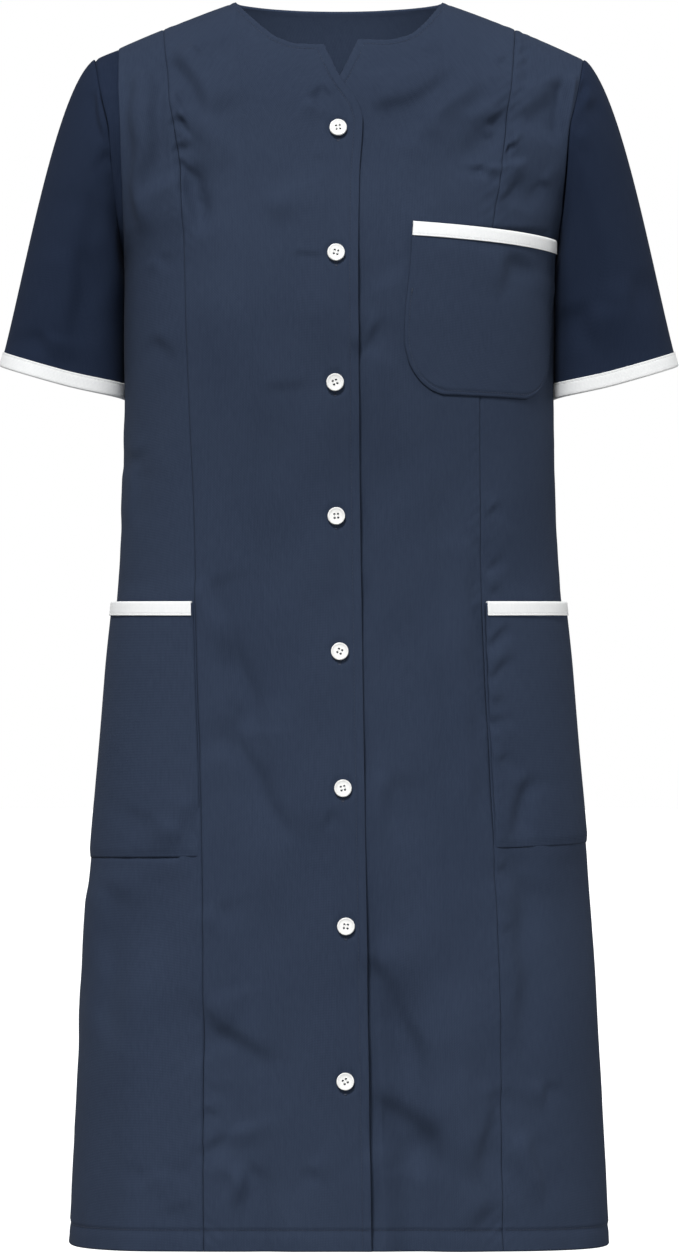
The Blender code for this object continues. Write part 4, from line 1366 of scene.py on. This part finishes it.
def bare_sleeve_point(around, along):
    """Points of a sleeve's face, which lies flat against the body's side under the arm."""
    start, end, first, last = sleeve_run(around)
    t = along[..., None]
    point = start * ((2 * t - 3) * t * t + 1) + end * ((3 - 2 * t) * t * t)
    point = point + first * (t * (1 - t) ** 2) + last * (t * t * (t - 1))
    under = around % (2 * math.pi) - math.pi
    low = soft_step(along, 0, 0.3)
    point[..., 0] -= HUG_TOP * np.exp(-(under / HUG_WIDE) ** 4) * soft_step(along, 0, 0.03)
    point[..., 0] -= HUG_LOW * hump(under, 0.42, 0.36) * low
    corner = np.where(np.abs(under) < math.pi / 2, np.sin(2 * under) ** 2, 0) * low
    point[..., 0] -= CORNER_IN * corner
    point[..., 1] += CORNER_OUT * corner * np.sign(under)
    return point


def sleeve_point(side, around, along, lift):
    """Points of a sleeve's face, moved out by lift."""
    spread, step = 0.02, 0.01
    ring = bare_sleeve_point(around + spread, along) - bare_sleeve_point(around - spread, along)
    down = bare_sleeve_point(around, along + step) - bare_sleeve_point(around, along - step)
    down = mix(unit(down), np.array((1, 0, 0)), (1 - soft_step(along, 0, 0.06))[..., None])
    normal = unit(np.cross(ring, down))
    point = bare_sleeve_point(around, along) + normal * lift
    return point * np.array((side, 1, 1))


def cuff_share(around, distance):
    """How far along a sleeve a place at that distance above its lower end is."""
    return 1 - distance / np.linalg.norm(sleeve_run(around)[3], axis=-1)


def head_fold(height):
    """How sharply the right sleeve's head is folded at each height: it opens out below the shoulder."""
    return soft_step(height, -130 * MM, -70 * MM)


def sleeve_head(seed):
    """The right sleeve's head, which lies over on the front as far as the side front's edge."""
    def turn_of(share, height):
        return turn_at(mix(seam("head_right", height), seam("armhole", height), share), height)

    shares = spaced((0, 0.02, 0.98, 1), (1, 20, 1))
    rows = len(YOKE_SHARES) + int(np.sum(BODICE_HEIGHTS > UNDERARM + 1 * MM)) - 1
    cut = Cut(panel_points(-1, turn_of, shares, shoulder_height)[:rows], BEHIND)
    outer = soft_step(cut.from_outer, 0, 6 * MM)
    drop = HEAD_DROP * np.exp(-cut.from_inner / HEAD_REACH) * soft_step(cut.from_top, 0, 25 * MM)
    ease = pulls("sleeve head", cut.from_top, cut.from_inner, seed)
    cut.add((creased("front", cut.base) - drop + ease) * outer)
    fold = hump(cut.from_outer, 0, 2.5 * MM) * head_fold(cut.height)
    cut.add(seam_line(cut.from_top) - HEAD_FOLD * fold)
    cut.tuck(slice(None), 0)
    cut.tuck(0, slice(1, -1), 0)
    return cut


def join_meshes(mesh, other):
    bm = bmesh.new()
    bm.from_mesh(mesh)
    bm.from_mesh(other)
    bm.to_mesh(mesh)
    bm.free()
    bpy.data.meshes.remove(other)


def build_sleeve(side, seed):
    """A short set-in sleeve, with its seam under the arm."""
    around = np.linspace(math.pi, 3 * math.pi, 141)
    down = spaced((0, 0.001, 0.02, 0.12, 1), (1, 2, 10, 62))
    along = down[:, None] * cuff_share(around, BINDING_GAP + BINDING)
    turned = around + 0 * along
    points = sleeve_point(side, turned, along, 0)
    cut = Cut(points, points.mean(axis=(0, 1)), closed=True)
    sewn = 1 + 0 * around
    if side < 0:
        top = points[0, :, 2]
        sewn = np.where(np.sin(around) > 0.01, head_fold(top), 1)
        sewn = sewn * (1 - 0.9 * soft_step(top, -66 * MM, -44 * MM))
    cut.add(seam_line(cut.from_top) * 0.9 * sewn)
    ease = pulls("sleeve", cut.from_inner, cut.from_top, seed)
    cut.add(ease * sewn * soft_step(np.cos(turned), -0.6, 0.2))
    free = soft_step(cut.from_hem, BINDING_HEIGHT, BINDING_HEIGHT + 8 * MM)
    for face, toward in (("sleeve", -cut.normals[..., 1]), ("sleeve_back", cut.normals[..., 1])):
        cut.add(creased(face, cut.base) * soft_step(toward, 0.05, 0.5) * free)
    cut.add(seam_line(np.minimum(cut.from_inner, cut.from_outer)) * free)
    cut.relief[0] -= SEAM_TUCK * sewn
    cut.base[0, :, 0] -= side * (ARMHOLE_GAP + SEAM_OVERLAP)
    # The sleeve, and on the right its head, take the cloth painted darker: painted shade
    piece = cloth_piece("sleeve_" + SIDE_WORDS[side], cut, shaded_sleeve_cloth)
    if side < 0:
        head = sleeve_head(seed + 3)
        lengths = (head.from_inner, head.from_top)
        join_meshes(piece.data, sheet_mesh("head", head.points, head.normals, *lengths))
        piece.data.shade_smooth()


def binding_section():
    """Half the outline of a binding: distance below its fold and lift, over the fold and down."""
    reach = BINDING / 2 + BINDING_GAP
    radius = reach + WALL / 2
    top = spaced((BINDING_HEIGHT, BINDING_HEIGHT - 3 * MM, radius), (6, 4))
    face = np.stack((top, reach + 0 * top), -1)
    angles = np.linspace(0, math.pi, 9)[1:-1]
    fold = np.stack((radius * (1 - np.sin(angles)), radius * np.cos(angles) - WALL / 2), -1)
    low = spaced((radius, BINDING_HEIGHT), (4,))
    back = np.stack((low, -WALL - reach + 0 * low), -1)
    return np.concatenate((face, fold, back))


def build_binding(kind, word, place, stations, closed, seed):
    """A white binding folded over an edge and stitched through, with place giving its points."""
    name = f"{kind}_binding{word}"
    station, reach, lift = np.broadcast_arrays(stations[None, :], *binding_section().T[..., None])
    points = place(station, reach, lift)
    direction = unit(points - place(station, reach, 0 * lift))
    along = lengths_along(points[:1], 1) + 0 * reach
    gap = BINDING_HEIGHT - reach
    relief = pulls("binding", along, gap, seed) - TAPE_GROOVE * hump(gap, TAPE_STITCH, 0.6 * MM)
    relief += TAPE_WAVE * uneven(along, 17 * MM, seed + 1)
    points = points + direction * (relief * np.where(lift > 0, 1, 0.5))[..., None]
    outward = direction * np.sign(lift)[..., None]
    mesh = sheet_mesh(name, points, outward, along, lengths_along(points, 0), closed)
    piece = finish_piece(name, mesh, white_tape)
    thicken(piece, TAPE, 0)
    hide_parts(f"{kind}_trim{word}")
    row = index_of(gap[:6, 0], TAPE_STITCH)
    line = np.concatenate((points[row], direction[row], along[row][:, None]), -1)
    line[:, :3] += line[:, 3:6] * TAPE / 2
    bm = bmesh.new()
    add_stitches(bm, line)
    sewing = mesh_from(bm, name + "_stitching")
    sewing = finish_piece(name + "_stitching", sewing, white_thread)


def build_cuff_binding(side, seed):
    def place(around, reach, lift):
        return sleeve_point(side, around, cuff_share(around, reach), lift[..., None])

    word = SIDE_WORDS[side]
    stations = np.linspace(math.pi, 3 * math.pi, 161)
    build_binding("cuff", "_" + word, place, stations, True, seed)


# Pockets

def hip_lift(share, height):
    """How far a hip pocket's back stands off the panel, a share of the way to the side seam."""
    down = (HIP_TOP - height) / HIP_LONG
    mouth = mix(HIP_MOUTH_SEAM, HIP_MOUTH, soft_step(share, 0, 0.6))
    return mix(mouth, POCKET_SEAT, soft_step(down, 0.06, 0.7))


def hip_turn(side, share, height):
    """Turn of a place on a hip pocket, just inside the seams it is caught in."""
    inset = HIP_INSET / body_size("half_width", height)
    inner = turn_at(princess(side, GAP / 2)(height), height) + inset
    return mix(inner, math.pi / 2 - inset / 2, share)


def build_hip_pocket(side, seed):
    """A hip pocket caught in the princess seam and the side seam, and its binding."""
    def place(share, reach, lift):
        height = HIP_TOP - reach
        stand = hip_lift(share, height) + WALL + lift
        return body_point(side, hip_turn(side, share, height), height, stand)

    node = "hip_pocket_" + SIDE_WORDS[side]
    shares = spaced((0, 0.1, 0.9, 1), (10, 40, 8))
    downs = spaced((0, 0.06, 0.9, 0.985, 1), (5, 60, 10, 3))
    floor = mix(*HIP_FLOORS[side], shares) * MM
    height = mix(HIP_TOP - BINDING_GAP - BINDING, floor, downs[:, None])
    cut = Cut(place(shares + 0 * height, HIP_TOP - height, 0), BEHIND)
    cut.add(creased("pocket", cut.base))
    sew_princess(cut, cut.from_inner, side, True, seed)
    cut.add(pulls("hip pocket", cut.from_inner, cut.from_hem, seed + 2))
    cut.add(rolled_edge(cut.from_hem) - POCKET_PRESS * (1 - soft_step(cut.from_hem, 0, 8 * MM)))
    cut.add(-POCKET_PRESS * (1 - soft_step(cut.from_inner, 0, 6 * MM)))
    cut.flatten_mouth()
    cut.turn_under(cut.from_hem, 8 * MM)
    piece = cloth_piece(node, cut, navy_cloth)
    word, stations = "_" + SIDE_WORDS[side], np.linspace(0.008, 1, 90)
    build_binding("hip_pocket", word, place, stations, False, seed + 7)


def breast_point(share, reach, lift):
    """Points of the breast pocket, a share of the way across and at a distance below its mouth."""
    down = reach / BREAST_LONG
    height = mix(mix(*BREAST_TOP, share), mix(*BREAST_FLOOR, share), down) * MM
    inner, outer = breast_edges(down)
    turn = mix(turn_at(inner, height), turn_at(outer, height), share)
    stand = mix(BREAST_MOUTH, BREAST_SEAT, soft_step(down, 0.1, 0.5)) + WALL
    return body_point(1, turn, height, stand + lift)


def build_breast_pocket():
    """The breast pocket, stitched down but for the upper part of its inner edge, and its binding."""
    shares = spaced((0, 0.08, 0.92, 1), (12, 56, 12))
    reach = spaced((BINDING_GAP + BINDING, 0.7 * BREAST_LONG, BREAST_LONG), (46, 36))[:, None]
    cut = Cut(breast_point(shares + 0 * reach, reach + 0 * shares, 0), BEHIND)
    outline = np.concatenate((cut.base[:, 0], cut.base[-1, 1:], cut.base[-2::-1, -1]))
    edge, along = near_line(cut.base, outline)
    cut.add(creased("pocket", cut.base))
    band = stitched_band(edge, along, POCKET_STITCH, 61)
    sewn = soft_step(along, POCKET_OPEN - 4 * MM, POCKET_OPEN + 2 * MM)
    cut.add(band * sewn + rolled_edge(edge) * (1 - sewn))
    cut.add(-POCKET_PRESS * (1 - soft_step(edge, 0, 5 * MM)) * sewn)
    cut.flatten_mouth()
    cut.turn_under(edge, POCKET_STITCH + 1 * MM)
    piece = cloth_piece("breast_pocket", cut, navy_cloth)
    bm = bmesh.new()
    line = zero_line(cut, edge - POCKET_STITCH, along)
    add_stitches(bm, line, first=POCKET_OPEN, last=along.max() - BINDING_HEIGHT)
    tack = line[(line[:, 6] > POCKET_OPEN - 5 * MM) & (line[:, 6] < POCKET_OPEN + 2 * MM)]
    tack[:, :3] += tack[:, 3:6] * 0.3 * MM
    add_stitches(bm, tack, step=0.8 * MM, long=1.6 * MM, thick=0.9 * MM)
    sewing = mesh_from(bm, "breast_pocket_stitching")
    sewing = finish_piece("breast_pocket_stitching", sewing, navy_thread)
    stations = np.linspace(0, 1, 110)
    build_binding(
        "breast_pocket", "", breast_point, stations, False, 67
    )


# Buttons and buttonholes

def button_mesh():
    """A turned button with a rim, a dish and four holes, its back at height 0 and its face up."""
    rim = 1.3 * MM
    dish = 0.5 * MM
    outline = (
        (0, 0),
        (BUTTON_RADIUS * 0.80, 0),
        (BUTTON_RADIUS * 0.93, BUTTON_HEIGHT * 0.18),
        (BUTTON_RADIUS, BUTTON_HEIGHT * 0.45),
        (BUTTON_RADIUS * 0.99, BUTTON_HEIGHT * 0.78),
        (BUTTON_RADIUS * 0.955, BUTTON_HEIGHT * 0.95),
        (BUTTON_RADIUS - rim * 0.5, BUTTON_HEIGHT),
        (BUTTON_RADIUS - rim * 0.85, BUTTON_HEIGHT * 0.97),
        (BUTTON_RADIUS - rim * 1.3, BUTTON_HEIGHT - dish * 0.75),
        (BUTTON_RADIUS - rim * 1.9, BUTTON_HEIGHT - dish),
        (0, BUTTON_HEIGHT - dish * 0.9),
    )
    bm = bmesh.new()
    verts = [bm.verts.new((radius, 0, height)) for radius, height in outline]
    edges = [bm.edges.new(pair) for pair in zip(verts, verts[1:])]
    bmesh.ops.spin(
        bm, geom=verts + edges, cent=(0, 0, 0), axis=(0, 0, 1), angle=2 * math.pi, steps=40,
        use_merge=True,
    )
    bmesh.ops.remove_doubles(bm, verts=bm.verts, dist=1e-6)
    bmesh.ops.recalc_face_normals(bm, faces=bm.faces)
    return mesh_from(bm, "button_blank")


def hole_cutter():
    """Four round pegs where the button's holes are."""
    bm = bmesh.new()
    for across in (-HOLE_SPREAD, HOLE_SPREAD):
        for up in (-HOLE_SPREAD, HOLE_SPREAD):
            bmesh.ops.create_cone(
                bm, cap_ends=True, segments=14, radius1=HOLE_RADIUS, radius2=HOLE_RADIUS,
                depth=4 * BUTTON_HEIGHT, matrix=Matrix.Translation((across, up, 0)),
            )
    return mesh_from(bm, "hole_cutter")


def drilled_button():
    """The button's mesh with its holes cut through."""
    blank = put("button_blank", button_mesh())
    cutter = put("hole_cutter", hole_cutter())
    drill = blank.modifiers.new("holes", "BOOLEAN")
    drill.operation = "DIFFERENCE"
    drill.object = cutter
    drill.solver = "EXACT"
    graph = bpy.context.evaluated_depsgraph_get()
    mesh = bpy.data.meshes.new_from_object(blank.evaluated_get(graph))
    for piece in (blank, cutter):
        bpy.data.objects.remove(piece)
    return mesh


def button_frame(across, height, turned):
    """Place of a button's back on the over front, with its own turn."""
    height = np.array(height * MM)
    turn = turn_at(-across * MM, height)
    seat = Vector(body_point(-1, turn, height, np.array(GAP)))
    outward = Vector(body_normal(turn, height) * np.array((-1, 1, 1)))
    sideways = Vector((0, 0, 1)).cross(outward).normalized()
    upward = outward.cross(sideways)
    axes = Matrix((sideways, upward, outward)).transposed().to_4x4()
    return Matrix.Translation(seat) @ axes @ Matrix.Rotation(math.radians(turned), 4, "Z")


def add_bead(bm, place, size, detail):
    """A bead of thread of a size across, through and along, in the frame of a place."""
    matrix = place @ Matrix.Diagonal((*size, 1))
    bmesh.ops.create_icosphere(bm, subdivisions=detail, radius=0.5, matrix=matrix)


def build_buttons():
    """The buttons, each sewn on with two pairs of threads through its holes."""
    drilled = drilled_button()
    for k, row in enumerate(BUTTONS):
        place = button_frame(**dict(zip(BUTTON_COLUMNS, row)))
        mesh = drilled.copy()
        mesh.transform(place)
        piece = finish_piece(f"button_{k + 1}_resin", mesh, resin)
        mesh.set_sharp_from_angle(angle=math.radians(35))
        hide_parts(f"button_{k + 1}")
        bm = bmesh.new()
        for across in (-HOLE_SPREAD, HOLE_SPREAD):
            for shift in (-0.22 * MM, 0.22 * MM):
                spot = Matrix.Translation((across + shift, 0, BUTTON_HEIGHT - 0.55 * MM))
                add_bead(bm, place @ spot, (0.5 * MM, 2 * HOLE_SPREAD - 0.3 * MM, 0.7 * MM), 2)
        name = f"button_{k + 1}_thread"
        finish_piece(name, mesh_from(bm, name), white_thread)


def build_buttonholes(cut):
    """Upright worked buttonholes, with close stitches down both sides and across the ends."""
    surface = cut.points.reshape(-1, 3)
    bm = bmesh.new()

    def sew(across, height, size, detail):
        near = np.argmin(np.sum((surface[:, (0, 2)] - (across, height)) ** 2, axis=-1))
        place = Matrix.Translation((across, surface[near, 1] - 0.15 * MM, height))
        add_bead(bm, place, size, detail)

    half = BUTTONHOLE_LONG / 2
    for across, height, _ in BUTTONS:
        across, middle = across * MM, height * MM - BUTTONHOLE_LOWER
        for side in (-0.75 * MM, 0.75 * MM):
            for down in np.arange(-half, half, 0.8 * MM):
                sew(across + side, middle + down, (1.2 * MM, 0.5 * MM, 0.62 * MM), 1)
        for down in (-half, half):
            sew(across, middle + down, (BUTTONHOLE_WIDE, 0.7 * MM, 1.2 * MM), 2)
    finish_piece("buttonholes", mesh_from(bm, "buttonholes"), navy_thread)


# Camera, floor and light

def build_camera():
    across, height = CAMERA_MIDDLE
    data = bpy.data.cameras.new("camera")
    data.sensor_fit = "AUTO"
    data.sensor_width = SENSOR
    data.lens = SENSOR * CAMERA_AWAY / (PHOTO_HIGH * PIXEL)
    camera = put("camera", data)
    camera.location = (across, -CAMERA_AWAY, height)
    camera.rotation_euler = (math.pi / 2, 0, 0)
    bpy.context.scene.camera = camera


def build_floor():
    finish, tree, shader = new_finish(
        "pale_floor",
        {"Base Color": linear("#8E8E8D"), "Roughness": 0.9, "Emission Color": (1, 1, 1, 1)},
    )
    seen = add_node(tree, "LightPath", "Is Camera Ray", {})
    tree.links.new(seen, shader.inputs["Emission Strength"])
    bm = bmesh.new()
    place = Matrix.Translation((0, 0, FLOOR))
    bmesh.ops.create_grid(bm, x_segments=1, y_segments=1, size=30, matrix=place)
    mesh = mesh_from(bm, "floor")
    mesh.materials.append(finish)
    put("floor", mesh)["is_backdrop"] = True


# Lights from far away: degrees to the image's right and up, strength, and how soft their shadows are
SUN_COLUMNS = ("name", "turn", "rise", "strength", "softness")
SUNS = (
    ("key", -15, 50, 2.9, 12),
    ("front", 4, 4, 0.75, 40),
    ("side", 96, 14, 0.85, 20),
    ("rim", -100, 10, 0.35, 20),
)
# A small light inside the neck: where it is, where it points, its size and its watts
NECK_LIGHT = ((0, -0.05, -0.11), (0, 0.06, -0.02), 0.08, 0.2)


def add_light(name, kind, strength, place, target):
    data = bpy.data.lights.new(name, kind)
    data.energy = strength
    light = put(name, data)
    light.location = place
    light.rotation_euler = (Vector(target) - Vector(place)).to_track_quat("-Z", "Y").to_euler()
    return light


def build_lights():
    for row in SUNS:
        sun = dict(zip(SUN_COLUMNS, row))
        turn, rise = math.radians(sun["turn"]), math.radians(sun["rise"])
        flat = math.cos(rise)
        place = (flat * math.sin(turn), -flat * math.cos(turn), math.sin(rise))
        light = add_light(sun["name"], "SUN", sun["strength"], place, (0, 0, 0))
        light.data.angle = math.radians(sun["softness"])
    place, target, size, watts = NECK_LIGHT
    light = add_light("neck", "AREA", watts, place, target)
    light.data.size = size
    light.visible_camera = False


def build_world():
    """A white surround that lights softly and looks white to the camera."""
    world = bpy.data.worlds.new("studio")
    world.use_nodes = True
    bpy.context.scene.world = world
    tree = world.node_tree
    seen = add_node(tree, "LightPath", "Is Camera Ray", {})
    strengths = {"Value": seen, "To Min": 0.3, "To Max": 1.0}
    strength = add_node(tree, "MapRange", "Result", strengths)
    tree.nodes["Background"].inputs["Color"].default_value = (1, 1, 1, 1)
    tree.links.new(strength, tree.nodes["Background"].inputs["Strength"])
    bpy.context.scene.view_settings.view_transform = "Standard"


build_camera()
build_floor()
build_lights()
build_world()
over_front = build_front_right()
build_front_left()
build_side_front(-1, 71)
build_side_front(1, 83)
build_back()
for sewn_side, pocket_area in ((-1, 0.0333), (1, 0.0298)):
    build_sleeve(sewn_side, 90 + sewn_side)
    build_cuff_binding(sewn_side, 95 + sewn_side)
    build_hip_pocket(sewn_side, 103 + 10 * sewn_side)
build_breast_pocket()
build_buttons()
build_buttonholes(over_front)

boxes = {"cad": cad_box, "visual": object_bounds()}
boxes = {name: [list(corner) for corner in box] for name, box in boxes.items()}
